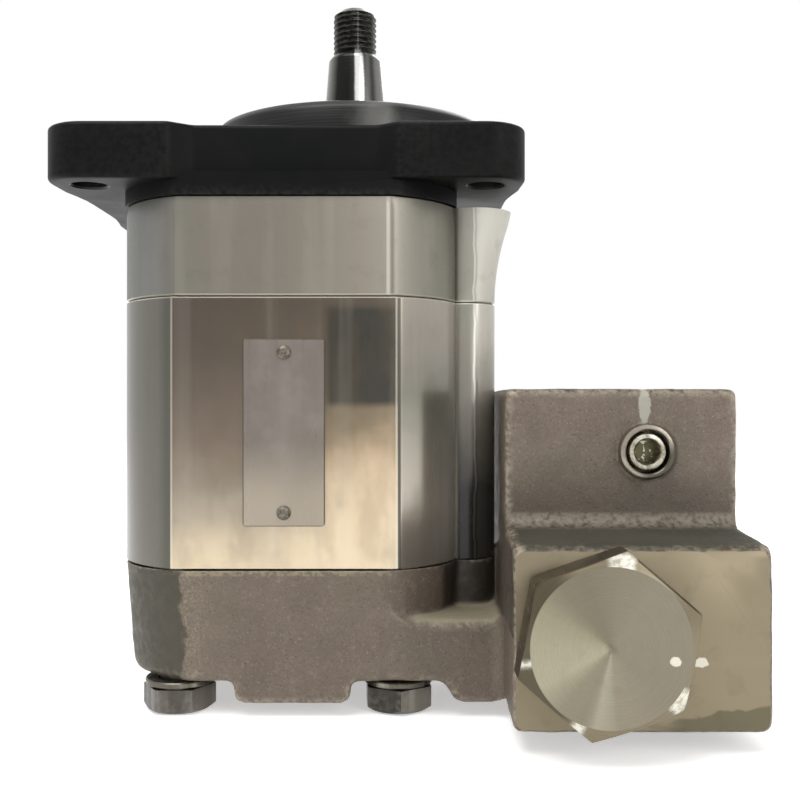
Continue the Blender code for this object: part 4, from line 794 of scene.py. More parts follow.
assembled(casting, "pump", "cast_iron", "rear_cover", crease=40.0)


# ---------------------------------------------------------------- gear body
# The middle section, sawn from an extruded aluminium bar. Its flats are milled bright, its
# corners keep the extruded skin, and it holds both gears, the inlet and its four screw holes.

BODY_LOW, BODY_TOP = 0.0368, 0.1038
GEAR_SPACING = 0.031
GEAR_MIDDLE_Z = 0.0703
GEAR_CHAMBER = 0.01805
PLATE_MIDDLE_Z, RIVET_RISE, RIVET_HOLE = 0.0704, 0.0196, 0.0011


def ribbed_outline(flat_x, radius, out, inset=0.0):
    """A section's outline with the round rib that runs up its right side."""
    opening = math.acos(-out / radius)
    rib = arc((SIDE_X + out - inset, RIB_Y), radius - inset * 0.5, -opening, opening, 24)
    return section_outline(inset, flat_x) + rib


def racetrack(radius):
    """The path of a section seal round both gears."""
    right = arc((0.0, 0.0), radius, -math.pi / 2, math.pi / 2, 32)
    return right + arc((-GEAR_SPACING, 0.0), radius, math.pi / 2, 1.5 * math.pi, 32)


def trench(inner, outer, low, high):
    """The cutter of a closed seal groove between two outlines."""
    stations = ((outer, low), (outer, high), (inner, high), (inner, low))
    return walled([[(x, y, z) for x, y in points] for points, z in stations], True)


def gradient(value, *stops):
    """Colours along a value, given as (value, red, green, blue), lowest first."""
    low, high = stops[0][0], stops[-1][0]
    share = node(value.id_data, "ShaderNodeMapRange", {0: value, 1: low, 2: high}).outputs[0]
    made = node(value.id_data, "ShaderNodeValToRGB", {0: share})
    steps = made.color_ramp.elements
    while len(steps) < len(stops):
        steps.new(0.5)
    for step, stop in zip(steps, stops):
        step.position = (stop[0] - low) / (high - low)
    for step, stop in zip(steps, stops):
        step.color = tone(*stop[1:])
    return made.outputs[0]


def highlight_streak_offset(x, z):
    """How far to the right of the thin painted highlight streak down the rib, which wanders a little."""
    return minus(x, calc("MULTIPLY_ADD", clouds(vector(z=z), 60.0, 3.0), 0.0032, 0.0308))


def rib_painted_light_and_shade(place):
    """The rib's colour with painted light and shade: pale at its top, painted shade towards its foot,
    lighter to the right of a painted highlight streak.
    """
    x, y, z = split(place)
    wavy = wavering(z, clouds(place, 90.0, 3.0), 0.012)
    left = gradient(wavy, (0.036, 28, 28, 26), (0.054, 38, 38, 36), (0.066, 92, 88, 81),
                    (0.080, 136, 130, 121), (0.100, 152, 149, 138), (0.130, 160, 158, 148))
    right = gradient(wavy, (0.036, 58, 58, 53), (0.056, 66, 67, 62), (0.072, 122, 118, 109),
                     (0.084, 158, 153, 142), (0.096, 190, 185, 174), (0.130, 200, 197, 187))
    off = highlight_streak_offset(x, z)
    colour = over(left, right, rising(off, 0.0002, 0.0010))
    painted_streak_highlight = times(rising(calc("ABSOLUTE", off), 0.0004, 0.0001), rising(z, 0.046, 0.104, 0.10, 0.70))
    return over(colour, (206, 204, 196), painted_streak_highlight)


def bright_body(tree):
    place = on_pump(tree)
    x, y, z = split(place)
    # The milled face carries painted reflections: dark above, pale below, with a dark mirrored patch.
    soft = wavering(z, clouds(place, 60.0, 3.0), 0.016)
    left = gradient(soft, (0.037, 200, 184, 158), (0.043, 188, 173, 149), (0.050, 162, 151, 134),
                    (0.058, 138, 128, 114), (0.068, 118, 106, 95), (0.078, 108, 97, 87),
                    (0.090, 94, 85, 76), (0.104, 88, 79, 71))
    right = gradient(soft, (0.037, 208, 191, 164), (0.050, 204, 186, 158), (0.062, 196, 176, 149),
                     (0.068, 176, 156, 130), (0.074, 134, 120, 99), (0.080, 112, 101, 86),
                     (0.104, 88, 80, 72))
    face = over(left, right, rising(x, -0.020, -0.002))
    dark = times(band(x, -0.0052, 0.0150, 0.0030), band(z, 0.0772, 0.1012, 0.0026))
    mirrored = over((48, 50, 48), (68, 66, 60), clouds(place, 110.0, 3.0))
    face = over(face, mirrored, dark, 0.94)
    drawn = on_pump(tree, (1.0, 1.0, 0.45))
    face = over(face, (104, 90, 68), rising(clouds(drawn, 150.0, 4.0), 0.40, 0.70, 0.0, 0.24))
    # Painted glints along the face's edges.
    frame_glint = largest(band(x, -0.0434, -0.0429, 0.0002), band(x, 0.0118, 0.0123, 0.0002))
    frame_glint = largest(frame_glint, rising(z, 0.0374, 0.0371))
    face = over(face, (208, 202, 186), frame_glint, 0.45)
    # The sides change tone along x and are painted darker towards the bottom.
    plain = gradient(x, (-0.060, 116, 114, 107), (-0.047, 110, 108, 100), (-0.0445, 92, 91, 84),
                     (0.012, 146, 141, 132), (0.024, 134, 131, 122))
    plain = over(plain, (70, 68, 60), rising(z, 0.075, 0.045, 0.0, 0.22))
    # The right corner is painted with reflection bands and a painted shade.
    right_corner = gradient(z, (0.037, 164, 157, 146), (0.052, 190, 182, 169), (0.070, 160, 156, 144),
                            (0.080, 136, 134, 123), (0.090, 148, 142, 132), (0.104, 160, 153, 143))
    shaded = times(band(x, 0.0225, 0.029, 0.002), rising(z, 0.084, 0.068))
    right_corner = over(right_corner, (118, 117, 108), shaded, 0.25)
    right_corner = over(right_corner, (84, 81, 73), band(x, 0.0121, 0.0131, 0.0003))
    near = rising(y, -0.020, -0.026)
    plain = over(plain, right_corner, near, rising(x, 0.0118, 0.0124))
    colour = over(plain, face, rising(y, -0.04385, -0.04396))
    colour = over(colour, rib_painted_light_and_shade(place), rising(x, 0.0276, 0.0284))
    glint = band(z, 0.10345, 0.106, 0.0001)
    colour = over(colour, (226, 222, 210), glint, 0.8)
    marks = marked(tree, colour, (1100.0, 1100.0, 20.0), 0.05, (80, 76, 68), 0.08)
    return coat(marks["Colour"], rising(marks["Height"], 0.2, 0.8, 0.22, 0.26), marks["Height"],
                Metallic=rising(x, 0.0190, 0.0284, 0.8, 0.4))


body_metal = finish("bright_body", bright_body, metallic=0.8, bump=0.06, depth=0.00002)
bore_metal = tooled("bored_aluminium", (176, 175, 170), (60.0, 60.0, 2200.0), 0.25, (96, 94, 88), 0.2,
                    metallic=0.9, bump=0.15, depth=0.00003)


def chamfered(outline, low, high, edge):
    """A section between two heights with a fine chamfer at both ends. outline(inset) gives its shape."""
    return upright([(low, outline(edge)), (low + edge, outline(0.0)), (high - edge, outline(0.0)),
                    (high, outline(edge))])


section = chamfered(lambda inset: ribbed_outline(0.0554, RIB_RADIUS, 0.0035, inset), BODY_LOW, BODY_TOP,
                    0.0003)
body = shape("gear_body_section", section, body_metal)
tools = drilled(GEAR_CHAMBER, BODY_LOW - 0.001, BODY_TOP + 0.001, ((0.0, 0.0), (-GEAR_SPACING, 0.0)), 96)
tools += drilled(BOLT_HOLE, BODY_LOW - 0.001, BODY_TOP + 0.001, BOLT_PLACES, 40)
for face_z, into in ((BODY_LOW, 1), (BODY_TOP, -1)):
    low, high = sorted((face_z - into * 0.001, face_z + into * 0.0025))
    tools.append((trench(racetrack(0.01995), racetrack(0.02275), low, high), None))
    tools += drilled(DOWEL_HOLE, face_z - 0.0063, face_z + 0.0063, DOWEL_PLACES, 24)
tools += drilled(OIL_HOLE, BODY_LOW - 0.001, GEAR_MIDDLE_Z, [(PUMP_MIDDLE_X, OIL_Y)], 32)
inlet = [(0.0100, 0.006), (0.0100, 0.0434), (0.0107, 0.0442), (0.0107, 0.046)]
tools.append((solid(inlet, 72), facing((0, 1, 0), PUMP_MIDDLE_X, 0.0, GEAR_MIDDLE_Z)))
for rise in (-RIVET_RISE, RIVET_RISE):
    where = facing(OUT_FRONT, PUMP_MIDDLE_X, 0.0, PLATE_MIDDLE_Z + rise)
    tools.append((rod(RIVET_HOLE, 0.0390, 0.046, 20), where))
bored(body, tools, bore_metal)
for i in range(4):
    angle = math.pi / 4 + i * math.pi / 2
    x, z = PUMP_MIDDLE_X + 0.02 * math.cos(angle), GEAR_MIDDLE_Z + 0.02 * math.sin(angle)
    combined(body, threaded("tap", 0.0030, 0.0005, 0.001, 0.0125, 0.0, bore_metal,
                            facing(OUT_FRONT, x, 0.0443, z), 24))
assembled(body, "pump", "bright_aluminium", "gear_body")


# ---------------------------------------------------------------- front housing
# The aluminium section over the gears, which holds the ball bearing. It is cast, then turned
# and milled to a duller grey than the body, and its rib widens where it meets the flange.

HOUSING_LOW, HOUSING_TOP = 0.1041, 0.1284


def dull_housing(tree):
    place = on_pump(tree)
    x, y, z = split(place)
    face = gradient(x, (-0.0435, 120, 118, 108), (-0.034, 122, 116, 106), (-0.020, 122, 115, 106),
                    (-0.006, 130, 124, 113), (0.004, 134, 127, 117), (0.0105, 134, 129, 118))
    # A painted glint line runs down the face near its right edge.
    line = band(x, 0.0096, 0.0104, 0.0004)
    face = over(face, (196, 192, 181), line, 0.5)
    line = largest(band(x, -0.0437, -0.0424, 0.0006), band(x, 0.0107, 0.0122, 0.0005))
    face = over(face, (84, 81, 73), line, 0.5)
    side = gradient(x, (-0.058, 108, 108, 104), (-0.050, 118, 118, 114), (-0.044, 112, 111, 104),
                    (0.0115, 140, 136, 125), (0.019, 136, 132, 121), (0.026, 118, 115, 104))
    colour = over(side, face, rising(y, -0.0436, -0.04395))
    colour = over(colour, rib_painted_light_and_shade(place), rising(x, 0.0276, 0.0284))
    glint = band(z, 0.1040, 0.10445, 0.0001)
    colour = over(colour, (214, 210, 198), glint, 0.6)
    marks = marked(tree, colour, (900.0, 900.0, 60.0), 0.035, (92, 88, 78), 0.16)
    grainy = clouds(place, 1400.0, 3.0, 0.7)
    return coat(marks["Colour"], sheen(grainy, 0.34, 0.44), grainy,
                Metallic=rising(x, 0.0276, 0.0284, 0.7, 0.4))


housing_metal = finish("dull_housing", dull_housing, metallic=0.7, bump=0.12, depth=0.00003)
levels = []
for step in range(9):
    share = step / 8
    out, radius = 0.0035 + 0.0023 * share**2, 0.0075 + 0.0025 * share**2
    edge = 0.0003 if step in (0, 8) else 0.0
    levels.append((HOUSING_LOW + (HOUSING_TOP - HOUSING_LOW) * share,
                   ribbed_outline(0.053, radius, out, edge)))
levels.insert(1, (HOUSING_LOW + 0.0003, ribbed_outline(0.053, 0.0075, 0.0035)))
housing = shape("front_housing_section", upright(levels), housing_metal)
bearing_bore = [(0.0099, HOUSING_LOW - 0.001), (0.0099, 0.1160), (0.02012, 0.1160),
                (0.02012, HOUSING_TOP + 0.001)]
tools = [(solid(bearing_bore, 96), None)]
ring_path = [arc((0.0, 0.0), radius, 0.0, 2 * math.pi, 64)[:-1] for radius in (0.0214, 0.0242)]
tools.append((trench(ring_path[0], ring_path[1], HOUSING_TOP - 0.0025, HOUSING_TOP + 0.001), None))
tools += drilled(BOLT_HOLE, HOUSING_LOW - 0.001, HOUSING_TOP + 0.001, BOLT_PLACES, 40)
tools += drilled(DOWEL_HOLE, HOUSING_LOW - 0.001, HOUSING_LOW + 0.0063, DOWEL_PLACES, 24)
bored(housing, tools, bore_metal)
assembled(housing, "pump", "cast_aluminium", "front_housing")


# ---------------------------------------------------------------- mounting flange
# The four-hole flange with its pilot, cast iron painted satin black. The pad below it and the
# pilot are turned, and the shaft seal is pressed into the bore from above.

FLANGE_LOW, PLATE_LOW, FLANGE_TOP, PILOT_TOP = 0.1287, 0.1325, 0.1464, 0.1535
FLANGE_LENGTH, FLANGE_WIDTH, EAR_RADIUS = 0.1195, 0.093, 0.0095
MOUNT_X, MOUNT_Y, TAPPED_HOLE = 0.050, 0.036, 0.00508


def flange_outline(inset):
    half_x, half_y = FLANGE_LENGTH / 2 - inset, FLANGE_WIDTH / 2 - inset
    ear = (half_x - EAR_RADIUS, half_y - EAR_RADIUS)
    quadrant = [(half_x - 0.0023, half_y * 0.22), (half_x - 0.0021, half_y * 0.34),
                (half_x - 0.0013, half_y * 0.47), (half_x - 0.0003, half_y * 0.60)]
    quadrant += arc(ear, EAR_RADIUS, 0.0, math.pi / 2, 16)
    quadrant += [(0.0291, half_y), (0.0281, half_y - 0.0002), (0.0271, half_y - 0.0009),
                 (0.0235, half_y - 0.0035), (0.0226, half_y - 0.0039), (0.0215, half_y - 0.0040)]
    return four_fold(quadrant, PUMP_MIDDLE_X)


def black_coat(tree):
    place = on_pump(tree)
    orange_peel = clouds(place, 900.0, 3.0, 0.5)
    broad = clouds(place, 60.0, 3.0)
    colour = over((8, 9, 9), (13, 14, 13), rising(broad, 0.35, 0.65))
    colour = edge_wear_and_glint(colour, (70, 70, 66), 0.45, 0.62)
    height = plus(orange_peel, times(clouds(place, 240.0, 3.0), 0.25))
    return coat(colour, sheen(broad, 0.42, 0.50), height)


def around_shaft(place):
    """The direction round the shaft's axis, from 0 to 1, starting at the back."""
    x, y, z = split(place)
    return calc("MULTIPLY_ADD", calc("ARCTAN2", x, times(y, -1.0)), 0.5 / math.pi, 0.5)


def black_turned(tree):
    place = on_pump(tree)
    x, y, z = split(place)
    reach = distance(x, y)
    rings = rings_along(plus(reach, z), 2600.0, 3.0)
    colour = over((20, 21, 20), (36, 36, 35), rising(rings, 0.35, 0.70))
    turn = wavering(around_shaft(place), clouds(place, 120.0, 3.0), 0.03)
    # A painted highlight on the pilot right of the shaft, and a painted highlight along its rim.
    gleam = times(band(turn, 0.508, 0.546, 0.024), band(reach, 0.0375, 0.0404, 0.0006))
    colour = over(colour, (120, 119, 116), gleam, 0.5)
    rim = times(band(reach, 0.0380, 0.0396, 0.0006), band(turn, 0.565, 0.880, 0.070))
    colour = over(colour, (150, 150, 148), rim, 0.35)
    return coat(colour, sheen(rings, 0.28, 0.42), rings)


flange_black = finish("satin_black_coat", black_coat, bump=0.1, depth=0.00006, Specular_IOR_Level=0.09)
pilot_black = finish("black_turned_steel", black_turned, metallic=0.6, bump=0.2, depth=0.00003)
edge_radius = 0.0012
rounds = [(edge_radius * (1 - math.sin(a)), flange_outline(edge_radius * (1 - math.cos(a))))
          for a in (step * math.pi / 8 for step in range(5))]
levels = [(PLATE_LOW + fall, outline) for fall, outline in reversed(rounds)]
levels += [(FLANGE_TOP - fall, outline) for fall, outline in rounds]
flange = shape("mounting_flange", upright(levels), flange_black)
pad = upright([(z, section_outline(-0.0004, 0.0554)) for z in (FLANGE_LOW, PLATE_LOW + 0.002)])
combined(flange, shape("pad", pad, flange_black), "UNION")
pilot = [(0.040, FLANGE_TOP - 0.002), (0.040, PILOT_TOP - 0.002), (0.0397, PILOT_TOP - 0.0014),
         (0.0386, PILOT_TOP - 0.0002), (0.0381, PILOT_TOP)]
combined(flange, shape("pilot", solid(pilot, 144), pilot_black), "UNION")
seal_bore = [(0.0115, FLANGE_LOW - 0.001), (0.0115, 0.1425), (0.0151, 0.1425), (0.0151, 0.14995),
             (0.0161, 0.14995), (0.0161, 0.15145), (0.0151, 0.15145), (0.0151, PILOT_TOP - 0.0008),
             (0.0160, PILOT_TOP + 0.0001), (0.0160, PILOT_TOP + 0.001)]
tools = [(solid(seal_bore, 72), None)]
for x in (-MOUNT_X, MOUNT_X):
    for y in (-MOUNT_Y, MOUNT_Y):
        mount = [(0.0050, PLATE_LOW - 0.001), (0.0050, PLATE_LOW), (0.0045, PLATE_LOW + 0.0005),
                 (0.0045, FLANGE_TOP - 0.0006), (0.0051, FLANGE_TOP), (0.0051, FLANGE_TOP + 0.001)]
        tools.append((solid(mount, 48), moved(PUMP_MIDDLE_X + x, y, 0.0)))
tools += drilled(TAPPED_HOLE, FLANGE_LOW - 0.001, FLANGE_TOP - 0.0037, BOLT_PLACES, 40)
bored(flange, tools, pilot_black)
assembled(flange, "pump", "black_paint", "front_flange", crease=28.0)


# ---------------------------------------------------------------- through bolts and washers
# Four M10 hexagon bolts clamp the sections together from below, each on a flat washer. The
# heads are forged and trimmed, so their flats carry fine upright streaks.

HEAD_HEIGHT, HEAD_FLATS = 0.0061, 0.016
BOLT_TOP = 0.1417


def forged_head(tree):
    place = on_pump(tree)
    z = split(place)[2]
    marks = marked(tree, (76, 72, 66), (700.0, 700.0, 40.0), 0.25, (38, 36, 31), 0.22)
    # Flats facing right are painted lighter and flats facing left darker, as light and shade.
    across = split(outward_normal(tree))[0]
    lit = over(marks["Colour"], (132, 126, 115), rising(across, -0.1, 0.5, 0.0, 0.50))
    lit = over(lit, (30, 28, 25), rising(across, -0.05, -0.5, 0.0, 0.60))
    # The edges carry painted glints, and the lowest millimetre of the head is painted darker, as shade near
    # the floor.
    colour = over(edge_wear_and_glint(lit, (140, 136, 127), 0.25, 0.60), (44, 42, 38), rising(z, 0.0010, 0.0), 0.4)
    return coat(colour, marks["Roughness"], marks["Height"])


head_steel = finish("dark_bolt_steel", forged_head, metallic=0.7, bump=0.2, depth=0.00003)
washer_steel = tooled("zinc_washer_steel", (98, 93, 84), (1100.0, 1100.0, 400.0), 0.3, (56, 52, 44), 0.45,
                      metallic=0.85, bump=0.15, depth=0.00003)


def repeat_tree():
    """Geometry nodes that set one piece at the corners of a rectangle, each turned a step further."""
    tree, size = shape_group("repeated_piece", [("Piece", "Object", None), ("Spacing X", "Float", 0.056),
                                                ("Spacing Y", "Float", 0.064), ("Count X", "Int", 2),
                                                ("Count Y", "Int", 2), ("Turn Step", "Float", 0.0),
                                                ("Finish", "Material", None), ])
    fields = {0: size["Spacing X"], 1: size["Spacing Y"], 2: size["Count X"], 3: size["Count Y"]}
    corners = node(tree, "GeometryNodeMeshGrid", fields).outputs["Mesh"]
    index = tree.nodes.new("GeometryNodeInputIndex").outputs[0]
    turn = vector(z=times(index, size["Turn Step"]))
    piece = node(tree, "GeometryNodeObjectInfo", {"Object": size["Piece"]}).outputs["Geometry"]
    fields = {"Points": corners, "Instance": piece, "Rotation": turn}
    copies = node(tree, "GeometryNodeInstanceOnPoints", fields).outputs[0]
    return finished_group(tree, copies, size)


repeated_piece = repeat_tree()


def repeated(name, piece, where, **sizes):
    """The copies of a piece as one plain mesh, moved to their place. The single piece is removed."""
    sizes = {key.replace("_", " "): value for key, value in sizes.items()}
    item = grown(name, repeated_piece, {"Piece": piece, "Finish": piece.data.materials[0], **sizes})
    item.data.transform(where)
    bpy.data.objects.remove(piece, do_unlink=True)
    return item


def hexagon(flats, low, high, turn=0.0):
    corner = flats / 2 / math.cos(math.pi / 6)
    outline = arc((0.0, 0.0), corner, turn, turn + 2 * math.pi, 6)[:-1]
    return upright([(low, outline), (high, outline)])


corner = HEAD_FLATS / 2 / math.cos(math.pi / 6)
head = [(0.0, 0.0002), (0.0030, 0.0), (HEAD_FLATS * 0.455, 0.0), (HEAD_FLATS * 0.475, 0.0001),
        (corner + 0.0001, 0.0013), (corner + 0.0001, HEAD_HEIGHT), (0.0050, HEAD_HEIGHT), (0.0050, 0.1240),
        (0.0047, 0.1243), (0.0047, 0.128), (0.0, 0.128)]
bolt = shape("bolt", turned(head, 72), head_steel)
combined(bolt, shape("flats", hexagon(HEAD_FLATS, -0.001, 0.150), head_steel), "INTERSECT")
combined(bolt, threaded("bolt_thread", 0.0050, 0.0008, 0.0015, BOLT_TOP - 0.1275, 0.0012, head_steel,
                        moved(0.0, 0.0, 0.1275), 32), "UNION")
middle = moved(PUMP_MIDDLE_X, 0.0, 0.0)
bolts = repeated("through_bolts", bolt, middle, Spacing_X=BOLT_SPACING_X, Spacing_Y=BOLT_SPACING_Y,
                 Turn_Step=math.radians(17))
assembled(bolts, "pump", "dark_steel", "through_bolt_1", "through_bolt_2", "through_bolt_3",
          "through_bolt_4", crease=25.0)
washer = [(0.0053, 0.0066), (0.0056, 0.0064), (0.0083, 0.0064), (0.0086, 0.0067), (0.0086, 0.0077),
          (0.0083, 0.0080), (0.0053, 0.0080)]
washers = repeated("bolt_washers", shape("washer", turned(washer, 64), washer_steel), middle,
                   Spacing_X=BOLT_SPACING_X, Spacing_Y=BOLT_SPACING_Y)
assembled(washers, "pump", "zinc_steel", "bolt_washer_1", "bolt_washer_2", "bolt_washer_3", "bolt_washer_4")


# ---------------------------------------------------------------- drive shaft and key
# The drive gear is forged in one with its shaft and ground. Above the flange the shaft has a
# slim taper with a half-moon key, a rounded shoulder and an M12 fine thread, oiled and dark.

TAPER_LOW, TAPER_TOP, THREAD_LOW, SHAFT_END = 0.1610, 0.1748, 0.1768, 0.1895


def ground_taper(tree):
    place = on_pump(tree)
    x, y, z = split(place)
    turn = around_shaft(place)
    grinding = rings_along(z, 3800.0, 3.0)
    wavy = wavering(turn, clouds(place, 200.0, 2.0), 0.010)
    # The bands round the taper are painted reflections: dark bands and a white highlight stripe.
    colour = gradient(wavy, (0.0, 126, 126, 122), (0.10, 58, 58, 56), (0.255, 140, 140, 136),
                      (0.34, 120, 119, 114), (0.40, 34, 34, 33), (0.470, 28, 28, 27), (0.500, 52, 51, 49),
                      (0.512, 236, 236, 234), (0.545, 230, 230, 228), (0.562, 66, 65, 63),
                      (0.585, 104, 103, 101), (0.610, 60, 60, 58), (0.645, 124, 122, 119),
                      (0.70, 120, 119, 115), (0.78, 156, 155, 150), (1.0, 126, 126, 122))
    colour = over(colour, (28, 28, 27), rising(grinding, 0.35, 0.70, 0.0, 0.22))
    low = rising(z, 0.1600, 0.1560)
    colour = over(colour, (34, 34, 33), low, 0.6)
    return coat(colour, sheen(grinding, 0.16, 0.30), grinding)


def oiled_thread(tree):
    place = on_pump(tree)
    turn = around_shaft(place)
    patchy = clouds(place, 700.0, 4.0)
    colour = over((50, 50, 48), (78, 76, 72), rising(patchy, 0.35, 0.70))
    # A painted highlight line runs up the thread.
    line = band(turn, 0.524, 0.536, 0.010)
    colour = over(colour, (150, 149, 144), line, 0.45)
    return coat(colour, sheen(patchy, 0.28, 0.44), patchy)


shaft_steel = finish("ground_shaft_steel", ground_taper, metallic=0.9, bump=0.08, depth=0.00002)
thread_steel = finish("oiled_thread_steel", oiled_thread, metallic=0.8, bump=0.2, depth=0.00003)
ground_steel = tooled("ground_steel", (166, 167, 166), (120.0, 120.0, 2600.0), 0.25, (84, 82, 76), 0.15,
                      metallic=0.95, bump=0.1, depth=0.00002)


def node_copy(name):
    """A node's own solid, merged into a closed mesh in pump coordinates, as a start for a finer piece."""
    bm = bmesh.new()
    bm.from_mesh(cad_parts[name].data)
    bmesh.ops.transform(bm, matrix=Matrix.Translation(-SHAFT_AXIS), verts=bm.verts)
    bmesh.ops.remove_doubles(bm, verts=bm.verts, dist=2e-6)
    return bm


inner = node_copy("drive_gear_shaft")
everything = list(inner.verts) + list(inner.edges) + list(inner.faces)
bmesh.ops.bisect_plane(inner, geom=everything, plane_co=(0, 0, 0.1400), plane_no=(0, 0, 1),
                       clear_outer=True)
bmesh.ops.holes_fill(inner, edges=[edge for edge in inner.edges if edge.is_boundary], sides=0)
shaft = shape("drive_shaft", inner, ground_steel)
end = [(0.0085, 0.1398), (0.0085, TAPER_LOW), (0.00745, TAPER_TOP), (0.00738, TAPER_TOP + 0.0003),
       (0.0069, TAPER_TOP + 0.0010), (0.0063, TAPER_TOP + 0.0016), (0.0058, THREAD_LOW + 0.0002),
       (0.0052, THREAD_LOW + 0.0010)]
nose = shape("shaft_end", solid(end, 96), shaft_steel)
key_top = 0.0085 - (0.0085 - 0.00745) / 0.0138 * 0.0065 - 0.0038 + 0.005
key_middle = key_top - 0.005 + 0.0065
lying = Matrix(((0, 0, 1, 0), (0, 1, 0, key_middle), (-1, 0, 0, TAPER_LOW + 0.0065), (0, 0, 0, 1)))
combined(nose, shape("key_slot", rod(0.0068, -0.00155, 0.00155, 72), ground_steel, where=lying))
screw = threaded("shaft_thread", 0.0061, 0.00085, 0.0015, SHAFT_END - THREAD_LOW, 0.0021, thread_steel,
                 moved(0.0, 0.0, THREAD_LOW), 72)
combined(nose, screw, "UNION")
centre = [(0.0, SHAFT_END - 0.0030), (0.0010, SHAFT_END - 0.0022), (0.0010, SHAFT_END - 0.0012),
          (0.0021, SHAFT_END + 0.0001), (0.0021, SHAFT_END + 0.001), (0.0, SHAFT_END + 0.001)]
combined(nose, shape("centre_drill", turned(centre, 32), thread_steel))
combined(shaft, nose, "UNION")
assembled(shaft, "drive_shaft", "ground_steel", "drive_gear_shaft", crease=28.0)


# ---------------------------------------------------------------- name plate and its rivets
# A bare aluminium plate, brushed along its length and held by two drive rivets with low domes.

PLATE_LOW_Z, PLATE_HIGH_Z = 0.0475, 0.0933


def brushed_plate(tree):
    place = on_pump(tree)
    x, y, z = split(place)
    marks = marked(tree, (120, 112, 105), (700.0, 300.0, 18.0), 0.04, (104, 98, 88), 0.20)
    # The plate's lower half is painted paler, as a reflection.
    colour = over(marks["Colour"], (182, 171, 152), rising(z, 0.070, 0.052), 0.55)
    bloom = clouds(place, 130.0, 4.0)
    colour = over(colour, (150, 140, 138), rising(bloom, 0.45, 0.75, 0.0, 0.30))
    shade = times(band(x, -0.0165, -0.0065, 0.005), rising(z, 0.078, 0.066))
    colour = over(colour, (120, 112, 100), shade, 0.18)
    # Its edges are painted dark, as shadow.
    sides = calc("ABSOLUTE", minus(x, PUMP_MIDDLE_X))
    rim = largest(rising(sides, 0.00965, 0.0099), rising(z, PLATE_LOW_Z + 0.0003, PLATE_LOW_Z + 0.0001),
                  rising(z, PLATE_HIGH_Z - 0.0003, PLATE_HIGH_Z - 0.0001))
    colour = over(colour, (70, 65, 55), rim, 0.8)
    return coat(colour, marks["Roughness"], marks["Height"])


def rivet_dome(tree):
    place = on_pump(tree)
    rough = clouds(place, 1500.0, 4.0)
    colour = over((84, 78, 68), (124, 117, 105), rising(rough, 0.40, 0.62))
    return coat(colour, sheen(rough, 0.3, 0.5), rough)


plate_metal = finish("brushed_plate", brushed_plate, metallic=0.75, bump=0.1, depth=0.00002)
rivet_metal = finish("rivet_aluminium", rivet_dome, metallic=0.6, bump=0.35, depth=0.00006)


def plate_outline(inset):
    half_x, half_z, r = 0.01005 - inset, 0.0229 - inset, 0.0008
    return four_fold(arc((half_x - r, half_z - r), r, 0.0, math.pi / 2, 6), 0.0)


plate = upright([(0.0443, plate_outline(0.0)), (0.0447, plate_outline(0.0)),
                 (0.0448, plate_outline(0.0001))])
on_face = facing(OUT_FRONT, PUMP_MIDDLE_X, 0.0, PLATE_MIDDLE_Z)
plate = shape("bare_name_plate", plate, plate_metal, where=on_face)
for rise in (-RIVET_RISE, RIVET_RISE):
    where = facing(OUT_FRONT, PUMP_MIDDLE_X, 0.0, PLATE_MIDDLE_Z + rise)
    combined(plate, shape("hole", rod(RIVET_HOLE, 0.043, 0.046, 24), plate_metal, where=where))
assembled(plate, "pump", "plate_metal", "name_plate")
dome = [(0.0, 0.0402), (0.0009, 0.0402), (0.0010, 0.0404), (0.0010, 0.0451), (0.00175, 0.0451),
        (0.00172, 0.0453), (0.0014, 0.04565), (0.0009, 0.0459), (0.0, 0.0460)]
rivet = shape("rivet", turned(dome, 32), rivet_metal)
rivets = repeated("plate_rivets", rivet, on_face, Spacing_X=0.0, Spacing_Y=2 * RIVET_RISE, Count_X=1,
                  Count_Y=2)
assembled(rivets, "pump", "plate_metal", "plate_rivet_1", "plate_rivet_2")


# ---------------------------------------------------------------- priority valve plug
# A 36 mm hexagon plug of turned steel closes the priority valve's bore over an O-ring. Its face
# is faced off in the lathe and carries a painted fan of light, and it has one dab of marking paint.

PLUG_FLATS, PLUG_HIGH = 0.036, 0.0110


